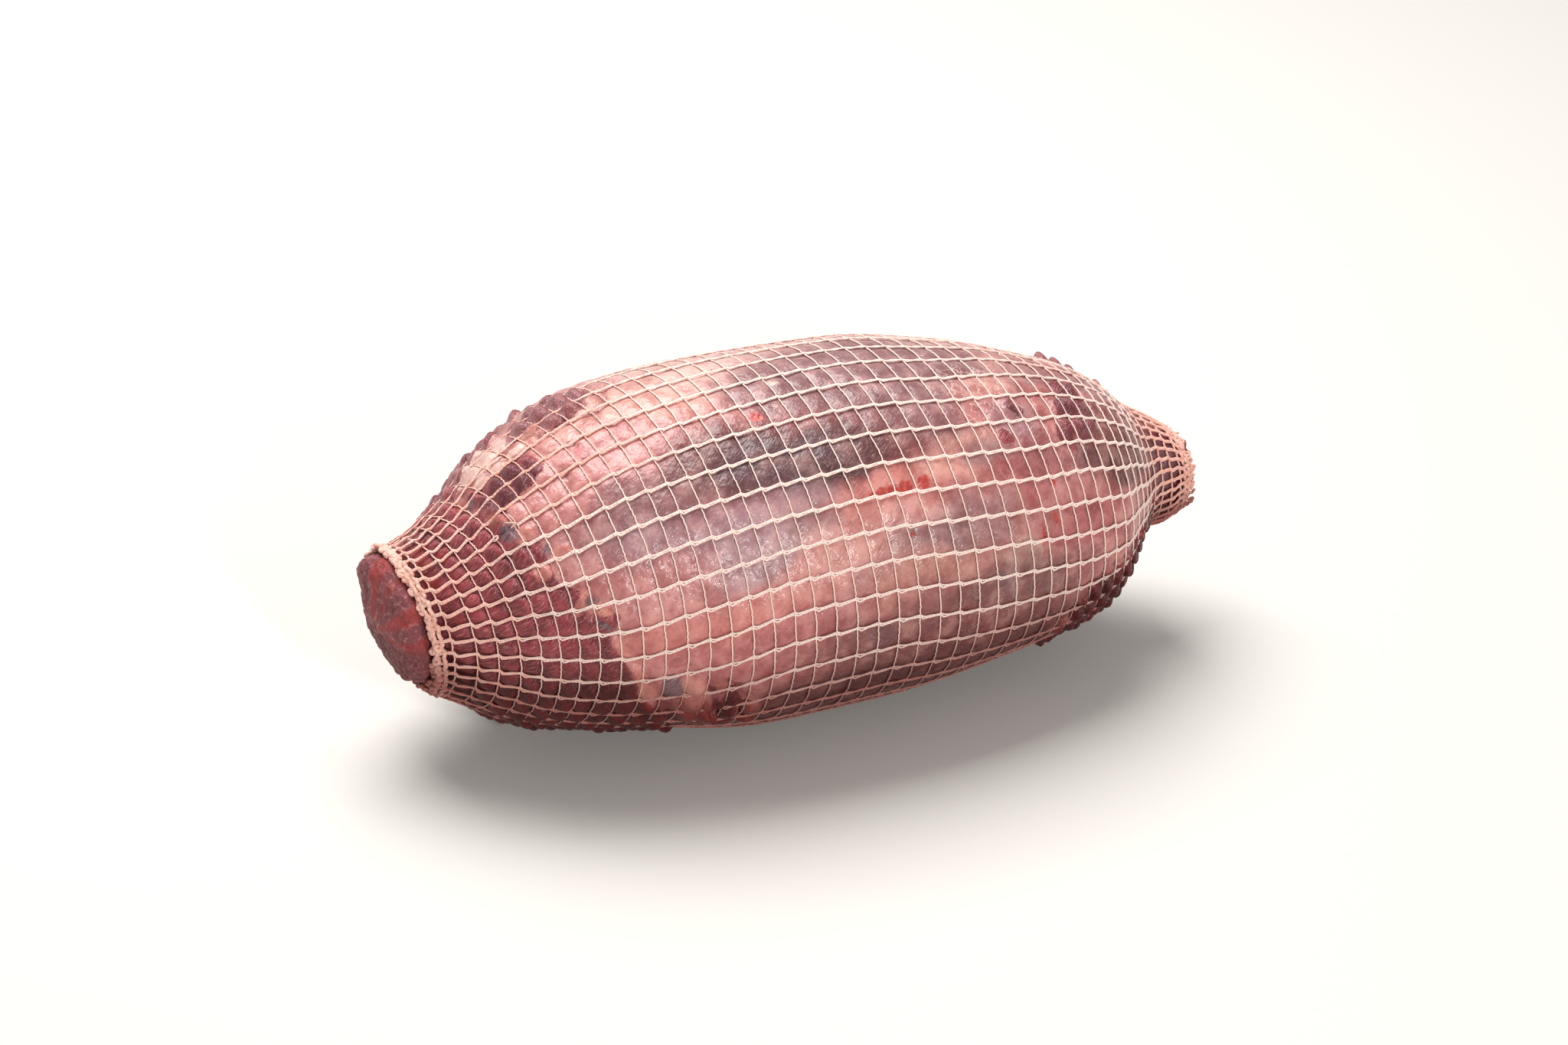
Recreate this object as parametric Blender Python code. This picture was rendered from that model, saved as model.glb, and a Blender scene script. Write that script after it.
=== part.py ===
"""Netted boneless roast: a rolled meat body inside a knitted elastic net sleeve.

Two solids share one frame, in metres with +Z up. The roast lies along X, its
flat rest patch is on z = 0 and the origin is under the middle of its box.
The meat runs the whole length and shows at both cut ends. The net is a sleeve
open at both mouths, with its strands as ridges around pillowed cells.
"""

import math

import bmesh
import bpy
import numpy as np
from mathutils import Vector, noise

MM = 0.001

# Body of the roast, one row for each cross-section, all in mm: position along X,
# half height, height of the section's centre, and its offset toward +Y.
SECTIONS = (
    (-133.0, 18.3, 54.3, 2.9),
    (-124.0, 25.0, 53.4, -0.3),
    (-113.0, 32.8, 53.4, -0.7),
    (-101.0, 41.0, 56.0, -0.4),
    (-63.0, 53.2, 60.6, 0.0),
    (-21.0, 58.0, 58.8, 0.0),
    (21.0, 57.1, 58.9, 0.0),
    (63.0, 51.0, 57.4, 0.0),
    (88.0, 44.7, 55.1, 0.0),
    (103.0, 39.2, 54.4, 0.0),
    (114.0, 29.7, 56.2, 0.0),
    (124.0, 19.8, 56.5, 1.2),
    (132.0, 16.2, 55.4, -1.0),
    (138.0, 11.5, 55.3, -3.5),
)
HALF_LENGTH = 140.4
# The middle is wider than it is high, and the ends are round.
EXTRA_WIDTH = 0.12
# The underside is pressed this far into the surface it rests on.
REST_SINK = 2.2

# Net: lengthwise chains around the sleeve, and rings along it.
CHAINS = 36
LEFT_MOUTH_X = -132.5
RIGHT_MOUTH_X = 138.0
# Distance between rings along X: tight in the cuffs, even in the middle.
RING_PITCH = (
    (-132.5, 2.5),
    (-128.0, 4.0),
    (-118.0, 5.0),
    (-104.0, 5.8),
    (-90.0, 6.5),
    (-70.0, 7.05),
    (50.0, 7.1),
    (70.0, 6.6),
    (88.0, 5.8),
    (100.0, 4.4),
    (118.0, 3.6),
    (126.0, 3.6),
    (138.0, 4.6),
)
# Lean of the ring planes along X: for each mm toward +Y, and for each mm up.
RING_LEAN = (
    (-132.5, -0.16, -0.11),
    (-124.0, -0.24, -0.04),
    (-85.0, -0.16, -0.03),
    (-10.0, -0.108, -0.047),
    (60.0, -0.13, -0.068),
    (95.0, -0.07, -0.05),
    (138.0, -0.03, 0.0),
)
# Where the chains wander around the body: X, then the drift in degrees of the
# chains that pass the middle at each of the angles below.
DRIFT_ANGLES = (33.0, 93.0, 133.0, 172.0, 204.0, 285.0, 393.0)
CHAIN_DRIFT = (
    (-134.0, 14.0, 16.0, 17.0, 16.0, 12.0, 12.0, 14.0),
    (-120.0, 10.0, 13.0, 10.0, 9.0, 5.0, 8.0, 10.0),
    (-110.0, 7.0, 9.0, 8.0, 7.0, 4.0, 6.0, 7.0),
    (-95.0, 4.0, 8.0, 8.5, 10.0, 10.0, 4.0, 4.0),
    (-75.0, 2.0, 7.0, 7.0, 12.0, 13.0, 2.0, 2.0),
    (-50.0, 0.0, 5.0, 4.0, 7.0, 10.0, 0.0, 0.0),
    (-20.0, 0.0, 2.0, 1.0, 0.5, 1.5, 0.0, 0.0),
    (10.0, 0.0, 0.0, 0.0, 0.0, 1.0, 0.0, 0.0),
    (40.0, 0.0, 1.0, 1.0, 3.0, 6.0, 0.0, 0.0),
    (65.0, 0.0, -2.0, 1.0, 5.5, 11.0, 0.0, 0.0),
    (90.0, 0.0, -6.0, -2.0, 8.0, 13.0, 0.0, 0.0),
    (108.0, 0.0, -4.0, 0.0, 8.5, 9.0, 0.0, 0.0),
    (122.0, 1.0, 0.0, 5.0, 13.0, 12.0, 4.0, 1.0),
    (130.0, 0.0, 0.0, 1.0, 7.0, 8.0, 2.0, 0.0),
    (138.0, 0.0, 0.0, 0.0, 0.0, 0.0, 0.0, 0.0),
)

# Depths from the body's surface, outward positive.
STRAND_OUT = 0.9
CELL_OUT = 0.35
SLEEVE_IN = -0.8
MEAT_IN = -1.1
# Lowest heights that keep the sleeve's wall and its gap over the rest patch.
SLEEVE_FLOOR = 1.0
MEAT_FLOOR = 1.35

# Cuff at each mouth: thicker crimped rows, every other chain standing proud.
CUFF_LENGTH = 9.0
CUFF_BULK = 0.6
CRIMP = 0.7
PICOT = 1.3
# Under the left mouth the cuff stands off the meat.
FLARE_ANGLE = 255.0
FLARE_SPREAD = 42.0
FLARE_DEPTH = 3.6

# Cut end of the meat that bulges out of each mouth.
LEFT_PLUG_AXIS = Vector((-0.93, -0.16, -0.33)).normalized()
LEFT_PLUG_LENGTH = 9.5
RIGHT_PLUG_AXIS = Vector((0.985, 0.02, -0.17)).normalized()
RIGHT_PLUG_LENGTH = 4.0
PLUG_STEPS = (0.12, 0.26, 0.44, 0.62, 0.79, 0.92)
CRAG_SIZE = 6.5
CRAG_DEPTH = 1.5

# Lumps of lean and fat that press out between the strands, in mm and degrees:
# X, angle around the body, half length, half spread, height.
LUMPS = (
    (-76.0, 66.0, 15.0, 13.0, 2.6),
    (-97.0, 72.0, 9.0, 12.0, 1.5),
    (-100.0, 104.0, 10.0, 13.0, 1.3),
    (-58.0, 202.0, 12.0, 10.0, 1.8),
    (-46.0, 214.0, 9.0, 9.0, 1.6),
    (78.0, 212.0, 8.0, 7.0, 1.6),
    (94.0, 196.0, 14.0, 13.0, 1.9),
    (96.0, 76.0, 12.0, 9.0, 1.6),
    (113.0, 78.0, 7.0, 9.0, 1.4),
    (92.0, 118.0, 13.0, 12.0, 1.0),
)
# The lean end of the roast is pillowed strongly, up to this ragged limit:
# angle around the body and X of the limit, in degrees and mm.
LEAN_LIMIT = (
    (40.0, -62.0),
    (75.0, -74.0),
    (100.0, -104.0),
    (125.0, -103.0),
    (150.0, -92.0),
    (170.0, -80.0),
    (190.0, -73.0),
    (215.0, -64.0),
    (250.0, -50.0),
    (290.0, -62.0),
    (330.0, -76.0),
    (400.0, -62.0),
)
LEAN_BULGE = 1.25

# The box of the whole roast is centred on the origin by this shift.
CENTRE_SHIFT = Vector((0.00047, 0.0, 0.0))


def clear_scene():
    """Remove every object so that the model starts alone."""
    for item in list(bpy.data.objects):
        bpy.data.objects.remove(item, do_unlink=True)


def smooth_table(rows, x, column=1):
    """Read a table with a curve that keeps between its neighbouring values."""
    xs = [row[0] for row in rows]
    ys = [row[column] for row in rows]
    if x <= xs[0]:
        return ys[0]
    if x >= xs[-1]:
        return ys[-1]
    steps = [(ys[i + 1] - ys[i]) / (xs[i + 1] - xs[i]) for i in range(len(xs) - 1)]
    slopes = [steps[0]]
    for before, after in zip(steps, steps[1:]):
        rising = before * after > 0
        slopes.append(2 * before * after / (before + after) if rising else 0.0)
    slopes.append(steps[-1])
    i = max(j for j in range(len(xs) - 1) if xs[j] <= x)
    width = xs[i + 1] - xs[i]
    t = (x - xs[i]) / width
    return (
        ys[i] * (1 + 2 * t) * (1 - t) ** 2
        + ys[i + 1] * t * t * (3 - 2 * t)
        + width * t * (1 - t) * (slopes[i] * (1 - t) - slopes[i + 1] * t)
    )


def bell(distance, half_width):
    """Fall smoothly from 1 at no distance toward 0 beyond the half width."""
    return math.exp(-0.7 * (distance / half_width) ** 2)


def angle_between(first, second):
    """Give the smallest difference between two angles in degrees."""
    return (first - second + 180.0) % 360.0 - 180.0


def lump_height(x, angle):
    """Add up the lumps of meat at one place of the body, in mm."""
    total = 0.0
    for lump_x, lump_angle, length, spread, height in LUMPS:
        away = angle_between(angle, lump_angle)
        total += height * bell(x - lump_x, length) * bell(away, spread)
    return total


def lean_share(x, angle):
    """Tell how much of a place belongs to the lean end, from 0 to 1."""
    folded = angle if angle >= 40.0 else angle + 360.0
    limit = smooth_table(LEAN_LIMIT, folded)
    return min(1.0, max(0.0, (limit - x) / 6.0 + 0.5))


def ring_lean(ring_x):
    """Give the lean of one ring's plane toward +Y and upward."""
    return smooth_table(RING_LEAN, ring_x, 1), smooth_table(RING_LEAN, ring_x, 2)


def body_point(ring_x, angle, depth):
    """Place a point on the body's surface moved outward by a depth in mm.

    The rings lie in leaning planes, so the point's own X is found from its
    height and its distance to the side.
    """
    turn = math.radians(angle)
    side_lean, up_lean = ring_lean(ring_x)
    x = ring_x
    for _ in range(3):
        half = smooth_table(SECTIONS, x, 1)
        middle = smooth_table(SECTIONS, x, 2)
        share = min(1.0, abs(x) / HALF_LENGTH)
        wide = half * (1.0 + EXTRA_WIDTH * (1.0 - share**4))
        swing = (wide + depth) * math.cos(turn)
        down = REST_SINK if math.sin(turn) < 0 else 0.0
        rise = (half + depth + down) * math.sin(turn)
        y = smooth_table(SECTIONS, x, 3) + swing
        x = ring_x + y * side_lean + rise * up_lean
    return Vector((x, y, middle + rise))


def chain_angle(chain, ring_x):
    """Give the angle around the body where a chain crosses a ring, in degrees."""
    start = 3.0 + chain * 360.0 / CHAINS
    x = body_point(ring_x, start, 0.0).x
    folded = start if start >= DRIFT_ANGLES[0] else start + 360.0
    drifts = [smooth_table(CHAIN_DRIFT, x, column) for column in range(1, len(DRIFT_ANGLES) + 1)]
    return start + smooth_table(list(zip(DRIFT_ANGLES, drifts)), folded)


def ring_positions():
    """March from mouth to mouth and give the X of every ring in mm."""
    places = [LEFT_MOUTH_X]
    while places[-1] < RIGHT_MOUTH_X - 2.0:
        x = places[-1]
        places.append(x + smooth_table(RING_PITCH, x + 1.5))
    stretch = (RIGHT_MOUTH_X - LEFT_MOUTH_X) / (places[-1] - LEFT_MOUTH_X)
    return [LEFT_MOUTH_X + (x - LEFT_MOUTH_X) * stretch for x in places]


def cuff_share(ring_x):
    """Tell how far into a cuff a ring lies, from 0 inside to 1 at a mouth."""
    inward = min(ring_x - LEFT_MOUTH_X, RIGHT_MOUTH_X - ring_x)
    return max(0.0, 1.0 - inward / CUFF_LENGTH)


def flare(ring_x, angle):
    """Give how far the left cuff stands off the meat under the mouth."""
    reach = max(0.0, 1.0 - (ring_x - LEFT_MOUTH_X) / 12.0)
    return FLARE_DEPTH * reach**1.5 * bell(angle_between(angle, FLARE_ANGLE), FLARE_SPREAD)


def sleeve_loop(ring_x, depth, crimped, floor):
    """Give the points of one ring of the sleeve, mouth crimping included."""
    share = cuff_share(ring_x)
    points = []
    for chain in range(CHAINS):
        angle = chain_angle(chain, ring_x)
        side = 1.0 if chain % 2 else -1.0
        out = depth + flare(ring_x, angle) + 0.5 * share
        if crimped:
            out += 0.45 * lump_height(ring_x, angle)
            bulk = CUFF_BULK if ring_x < 0 else 0.0
            out += (bulk + 0.5 * CRIMP * side) * share
        point = body_point(ring_x, angle, out)
        if share >= 0.99:
            mouth = -1.0 if ring_x < 0 else 1.0
            point.x += mouth * PICOT * (0.5 + 0.5 * side)
        point.z = max(point.z, floor)
        points.append(point)
    return points


def make_loop(mesh, points):
    """Add one ring of corners through the given points in mm."""
    return [mesh.verts.new(point * MM + CENTRE_SHIFT) for point in points]


def bridge_all(mesh, loops, closed):
    """Join each ring to the next one with a band of quads."""
    bands = []
    pairs = list(zip(loops, loops[1:]))
    if closed:
        pairs.append((loops[-1], loops[0]))
    for first, second in pairs:
        band = []
        for i in range(len(first)):
            corners = (first[i - 1], first[i], second[i], second[i - 1])
            band.append(mesh.faces.new(corners))
        bands.append(band)
    return bands


def raise_cells(mesh, faces):
    """Poke a centre point into each cell and press the meat out through it.

    Cells that lie flat on the surface under the roast stay flat.
    """
    made = bmesh.ops.poke(mesh, faces=faces, offset=0.0, center_mode="MEAN_WEIGHTED")
    for vert in made["verts"]:
        if vert.co.z < 0.001 * MM:
            continue
        place = (vert.co - CENTRE_SHIFT) / MM
        half = smooth_table(SECTIONS, place.x, 1)
        middle = smooth_table(SECTIONS, place.x, 2)
        share = min(1.0, abs(place.x) / HALF_LENGTH)
        wide = half * (1.0 + EXTRA_WIDTH * (1.0 - share**4))
        aside = (place.y - smooth_table(SECTIONS, place.x, 3)) / wide
        above = (place.z - middle) / half
        angle = math.degrees(math.atan2(above, aside)) % 360.0
        press = CELL_OUT - STRAND_OUT + 0.25
        press += LEAN_BULGE * lean_share(place.x, angle)
        press += 0.55 * lump_height(place.x, angle)
        outward = Vector((0.0, aside, above)).normalized()
        vert.co += outward * press * MM
        vert.co.z = max(vert.co.z, 0.0)


def finish_object(name, mesh, colour, roughness):
    """Close a bmesh into a named object with its own plain material."""
    bmesh.ops.triangulate(mesh, faces=mesh.faces, quad_method="SHORT_EDGE")
    bmesh.ops.recalc_face_normals(mesh, faces=mesh.faces)
    data = bpy.data.meshes.new(name)
    mesh.to_mesh(data)
    mesh.free()
    data.shade_smooth()
    data.set_sharp_from_angle(angle=math.radians(50))
    material = bpy.data.materials.new(name)
    material.use_nodes = True
    shader = material.node_tree.nodes["Principled BSDF"]
    shader.inputs["Base Color"].default_value = (*colour, 1.0)
    shader.inputs["Roughness"].default_value = roughness
    shader.inputs["Metallic"].default_value = 0.0
    data.materials.append(material)
    item = bpy.data.objects.new(name, data)
    bpy.context.collection.objects.link(item)
    return item


def build_net(rings):
    """Make the sleeve: outer wall, both crimped mouths and the inner wall."""
    mesh = bmesh.new()
    outer = [sleeve_loop(x, STRAND_OUT, True, 0.0) for x in rings]
    lining = lining_rings(rings)
    inner = [sleeve_loop(x, SLEEVE_IN, False, SLEEVE_FLOOR) for x in reversed(lining)]
    loops = [make_loop(mesh, points) for points in outer + inner]
    bands = bridge_all(mesh, loops, closed=True)
    cells = [face for band in bands[: len(rings) - 1] for face in band]
    raise_cells(mesh, cells)
    return finish_object("net", mesh, (0.80, 0.56, 0.46), 0.75)


def lining_rings(rings):
    """Keep every other ring inside, and all rings near the mouths."""
    kept = []
    for index, x in enumerate(rings):
        near_mouth = min(index, len(rings) - 1 - index) < 4
        if near_mouth or index % 2 == 0:
            kept.append(x)
    return kept


def meat_loop(ring_x):
    """Give one ring of the meat just inside the sleeve's lining."""
    points = []
    for chain in range(CHAINS):
        point = body_point(ring_x, chain_angle(chain, ring_x), MEAT_IN)
        point.z = max(point.z, MEAT_FLOOR)
        points.append(point)
    return points


def crag(point, depth):
    """Give the roughness of torn meat at a point, in mm."""
    seed = Vector((17.3, 4.1, 9.7))
    coarse = noise.noise(point / CRAG_SIZE + seed)
    fine = noise.noise(point / (0.4 * CRAG_SIZE) - seed)
    return depth * (coarse + 0.5 * fine)


def plug_loops(mouth, axis, length):
    """Give the rings of a craggy dome that closes one end of the meat."""
    middle = sum(mouth, Vector()) / len(mouth)
    loops = []
    for step in PLUG_STEPS:
        spread = (1.0 - step**2.6) ** 0.5
        puff = 1.0 + 0.10 * math.sin(math.pi * min(1.0, step * 1.6))
        loop = []
        for point in mouth:
            out = (point - middle) * spread * puff
            place = middle + out + axis * (length * step)
            place += (out.normalized() + axis).normalized() * crag(place, CRAG_DEPTH)
            loop.append(place)
        loops.append(loop)
    return loops


def close_end(mesh, loop, middle):
    """Fill the last ring of a dome and raise its centre point."""
    face = mesh.faces.new(loop)
    poked = bmesh.ops.poke(mesh, faces=[face])
    for vert in poked["verts"]:
        vert.co = middle * MM + CENTRE_SHIFT


def build_meat(rings):
    """Make the meat: the netted length and the two bulging cut ends."""
    mesh = bmesh.new()
    body = [meat_loop(x) for x in lining_rings(rings)]
    left_start = [point + LEFT_PLUG_AXIS * 1.8 for point in body[0]]
    right_start = [point + RIGHT_PLUG_AXIS * 1.8 for point in body[-1]]
    left = plug_loops(left_start, LEFT_PLUG_AXIS, LEFT_PLUG_LENGTH - 1.8)
    right = plug_loops(right_start, RIGHT_PLUG_AXIS, RIGHT_PLUG_LENGTH - 1.8)
    rows = left[::-1] + [left_start] + body + [right_start] + right
    loops = [make_loop(mesh, points) for points in rows]
    bridge_all(mesh, loops, closed=False)
    left_tip = sum(left[-1], Vector()) / CHAINS + LEFT_PLUG_AXIS * 0.9
    right_tip = sum(right[-1], Vector()) / CHAINS + RIGHT_PLUG_AXIS * 0.5
    close_end(mesh, loops[0], left_tip)
    close_end(mesh, loops[-1], right_tip)
    return finish_object("meat", mesh, (0.30, 0.085, 0.09), 0.45)


def main():
    """Build the two solids of the roast."""
    clear_scene()
    rings = ring_positions()
    net = build_net(rings)
    meat = build_meat(rings)
    corners = [tuple(vert.co) for item in (net, meat) for vert in item.data.vertices]
    spread = np.array(corners) / MM
    print("rings", len(rings), "chains", CHAINS)
    print("box in mm", spread.min(axis=0).round(2), spread.max(axis=0).round(2))


if __name__ == "__main__":
    main()
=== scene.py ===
"""Looks of a netted boneless reindeer roast on a pale studio floor.

The rolled meat is one skin of lean, silverskin, fat and blood marks, pressed into
pillows by a knitted elastic net. The net is lengthwise chains of stitches with
elastic rings laid through them, gathered into a cuff of cut loops at both mouths.
All sizes are in millimetres until a mesh is placed in the frame, in metres.
"""

import logging
import math
from collections.abc import Callable, Sequence
from dataclasses import dataclass, field
from enum import Enum
from functools import partial

import bpy
import numpy as np
from mathutils import Matrix, Vector

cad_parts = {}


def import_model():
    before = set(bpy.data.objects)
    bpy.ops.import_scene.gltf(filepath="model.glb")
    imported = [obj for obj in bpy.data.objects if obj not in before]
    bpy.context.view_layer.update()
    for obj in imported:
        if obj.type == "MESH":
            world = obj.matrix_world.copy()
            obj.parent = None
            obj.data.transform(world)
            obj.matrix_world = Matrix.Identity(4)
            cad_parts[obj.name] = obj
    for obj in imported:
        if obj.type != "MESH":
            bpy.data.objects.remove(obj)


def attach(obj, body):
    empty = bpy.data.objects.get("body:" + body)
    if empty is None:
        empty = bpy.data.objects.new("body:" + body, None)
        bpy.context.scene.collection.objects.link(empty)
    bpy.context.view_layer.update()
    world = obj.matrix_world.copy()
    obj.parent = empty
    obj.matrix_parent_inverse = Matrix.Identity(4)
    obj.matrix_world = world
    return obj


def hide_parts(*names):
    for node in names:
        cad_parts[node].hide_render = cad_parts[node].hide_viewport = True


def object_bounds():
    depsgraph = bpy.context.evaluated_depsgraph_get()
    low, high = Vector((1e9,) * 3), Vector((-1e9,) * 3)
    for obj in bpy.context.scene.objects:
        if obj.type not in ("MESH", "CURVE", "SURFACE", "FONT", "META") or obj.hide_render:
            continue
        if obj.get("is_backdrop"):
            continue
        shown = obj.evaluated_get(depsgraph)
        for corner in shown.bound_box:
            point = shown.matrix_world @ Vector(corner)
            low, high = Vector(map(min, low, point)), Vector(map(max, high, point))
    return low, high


MM = 0.001
SHIFT = np.array((0.47, 0.0, 0.0))
BODY = "root"
SMOOTH = {"interpolation_type": "SMOOTHSTEP"}
LOG = logging.getLogger("netted_roast")

Array = np.ndarray
Inputs = Sequence[object] | dict[str | int, object]
# From a share along a yarn to ring, chain, depth and the shifts along and around in mm.
Course = Callable[[Array], tuple[Array, ...]]


def linear(code: str) -> tuple[float, float, float, float]:
    """Turn an sRGB hex colour into linear light.

    Args:
        code: Colour such as "#f0dcd0".

    Returns:
        Red, green, blue and an alpha of one.
    """
    parts = [int(code[i : i + 2], 16) / 255.0 for i in (1, 3, 5)]
    light = [p / 12.92 if p <= 0.04045 else ((p + 0.055) / 1.055) ** 2.4 for p in parts]
    return (*light, 1.0)


def hermite(places: Sequence[float], values: Array, at: Array) -> Array:
    """Read a smooth curve that keeps between its neighbouring values.

    Args:
        places: Rising positions of the rows.
        values: One value for each row, or one column of them for each reading.
        at: Positions to read, clamped to the first and last row.

    Returns:
        The curve's value at each position.
    """
    xs = np.asarray(places, float)
    ys = np.asarray(values, float)
    wide = np.diff(xs) if ys.ndim == 1 else np.diff(xs)[:, None]
    steps = np.diff(ys, axis=0) / wide
    before, after = steps[:-1], steps[1:]
    total = np.where(before * after > 0, before + after, 1.0)
    inner = np.where(before * after > 0, 2.0 * before * after / total, 0.0)
    slopes = np.concatenate([steps[:1], inner, steps[-1:]])
    x = np.clip(at, xs[0], xs[-1])
    i = np.clip(np.searchsorted(xs, x, side="right") - 1, 0, len(xs) - 2)
    low = (i,) if ys.ndim == 1 else (i, np.arange(x.size))
    high = (i + 1,) if ys.ndim == 1 else (i + 1, np.arange(x.size))
    gap = xs[i + 1] - xs[i]
    t = (x - xs[i]) / gap
    return (
        ys[low] * (1 + 2 * t) * (1 - t) ** 2
        + ys[high] * t * t * (3 - 2 * t)
        + gap * t * (1 - t) * (slopes[low] * (1 - t) - slopes[high] * t)
    )


def cloud(points: Array, size: float, seed: int) -> Array:
    """Give smooth random values from -1 to 1 that change over a size.

    Args:
        points: Places in mm, one row each.
        size: Distance between independent values in mm.
        seed: Picks one of many clouds.

    Returns:
        One value for each place.
    """
    table = np.random.default_rng(seed).uniform(-1.0, 1.0, (32, 32, 32))
    scaled = points / size + 7.3
    base = np.floor(scaled).astype(int)
    part = scaled - base
    part = part * part * (3.0 - 2.0 * part)
    total = np.zeros(len(points))
    for corner in range(8):
        step = np.array((corner & 1, corner >> 1 & 1, corner >> 2 & 1))
        share = np.prod(np.where(step, part, 1.0 - part), axis=1)
        i, j, k = ((base + step) % 32).T
        total += share * table[i, j, k]
    return total


def unit(vectors: Array) -> Array:
    """Scale each row to length one."""
    return vectors / np.maximum(np.linalg.norm(vectors, axis=-1, keepdims=True), 1e-9)


def fade(value: Array, start: float, end: float) -> Array:
    """Rise smoothly from 0 at start to 1 at end."""
    t = np.clip((value - start) / (end - start), 0.0, 1.0)
    return t * t * (3.0 - 2.0 * t)


def turn_between(first: Array, second: float) -> Array:
    """Give the smallest difference between angles in degrees."""
    return (first - second + 180.0) % 360.0 - 180.0


@dataclass(frozen=True)
class RoastForm:
    """Shape of the roast and the courses of its net.

    A place on the body is a ring number along the roast and a chain number
    around it, so that skin, chains and rings share one set of lines.
    """

    sections: tuple[tuple[float, ...], ...] = (
        (-133.0, 18.3, 54.3, 2.9),
        (-124.0, 25.0, 53.4, -0.3),
        (-113.0, 32.8, 53.4, -0.7),
        (-101.0, 41.0, 56.0, -0.4),
        (-63.0, 53.2, 60.6, 0.0),
        (-21.0, 58.0, 58.8, 0.0),
        (21.0, 57.1, 58.9, 0.0),
        (63.0, 51.0, 57.4, 0.0),
        (88.0, 44.7, 55.1, 0.0),
        (103.0, 39.2, 54.4, 0.0),
        (114.0, 29.7, 56.2, 0.0),
        (124.0, 19.8, 56.5, 1.2),
        (132.0, 16.2, 55.4, -1.0),
        (138.0, 11.5, 55.3, -3.5),
    )
    half_length: float = 140.4
    extra_width: float = 0.12
    rest_sink: float = 2.2
    chains: int = 36
    left_mouth: float = -132.5
    right_mouth: float = 138.0
    ring_pitch: tuple[tuple[float, float], ...] = (
        (-132.5, 2.5),
        (-128.0, 4.0),
        (-118.0, 5.0),
        (-104.0, 5.8),
        (-90.0, 6.5),
        (-70.0, 7.05),
        (50.0, 7.1),
        (70.0, 6.6),
        (88.0, 5.8),
        (100.0, 4.4),
        (118.0, 3.6),
        (126.0, 3.6),
        (138.0, 4.6),
    )
    ring_lean: tuple[tuple[float, float, float], ...] = (
        (-132.5, -0.16, -0.11),
        (-124.0, -0.24, -0.04),
        (-85.0, -0.16, -0.03),
        (-10.0, -0.108, -0.047),
        (60.0, -0.13, -0.068),
        (95.0, -0.07, -0.05),
        (138.0, -0.03, 0.0),
    )
    drift_angles: tuple[float, ...] = (33.0, 93.0, 133.0, 172.0, 204.0, 285.0, 393.0)
    chain_drift: tuple[tuple[float, ...], ...] = (
        (-134.0, 14.0, 16.0, 17.0, 16.0, 12.0, 12.0, 14.0),
        (-120.0, 10.0, 13.0, 10.0, 9.0, 5.0, 8.0, 10.0),
        (-110.0, 7.0, 9.0, 8.0, 7.0, 4.0, 6.0, 7.0),
        (-95.0, 4.0, 8.0, 8.5, 10.0, 10.0, 4.0, 4.0),
        (-75.0, 2.0, 7.0, 7.0, 12.0, 13.0, 2.0, 2.0),
        (-50.0, 0.0, 5.0, 4.0, 7.0, 10.0, 0.0, 0.0),
        (-20.0, 0.0, 2.0, 1.0, 0.5, 1.5, 0.0, 0.0),
        (10.0, 0.0, 0.0, 0.0, 0.0, 1.0, 0.0, 0.0),
        (40.0, 0.0, 1.0, 1.0, 3.0, 6.0, 0.0, 0.0),
        (65.0, 0.0, -2.0, 1.0, 5.5, 11.0, 0.0, 0.0),
        (90.0, 0.0, -6.0, -2.0, 8.0, 13.0, 0.0, 0.0),
        (108.0, 0.0, -4.0, 0.0, 8.5, 9.0, 0.0, 0.0),
        (122.0, 1.0, 0.0, 5.0, 13.0, 12.0, 4.0, 1.0),
        (130.0, 0.0, 0.0, 1.0, 7.0, 8.0, 2.0, 0.0),
        (138.0, 0.0, 0.0, 0.0, 0.0, 0.0, 0.0, 0.0),
    )
    flare_angle: float = 255.0
    flare_spread: float = 42.0
    flare_depth: float = 2.0
    flare_length: float = 12.0
    first_chain_angle: float = 3.0
    middle_height: float = 57.0

    def read(self, rows: tuple[tuple[float, ...], ...], at: Array, column: int = 1) -> Array:
        """Read one column of a table of rows at the given positions."""
        return hermite([r[0] for r in rows], np.array([r[column] for r in rows]), at)

    def ring_places(self) -> Array:
        """March from mouth to mouth and give the X of every ring."""
        places = [self.left_mouth]
        while places[-1] < self.right_mouth - 2.0:
            ahead = np.array([places[-1] + 1.5])
            places.append(places[-1] + float(self.read(self.ring_pitch, ahead)[0]))
        spread = (self.right_mouth - self.left_mouth) / (places[-1] - self.left_mouth)
        return self.left_mouth + (np.array(places) - self.left_mouth) * spread

    def last_ring(self) -> int:
        """Number of the ring at the right mouth."""
        return len(self.ring_places()) - 1

    def ring_x(self, ring: Array) -> Array:
        """Give the X of any place between rings, from its ring number."""
        places = self.ring_places()
        return hermite(np.arange(len(places)), places, ring)

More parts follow.
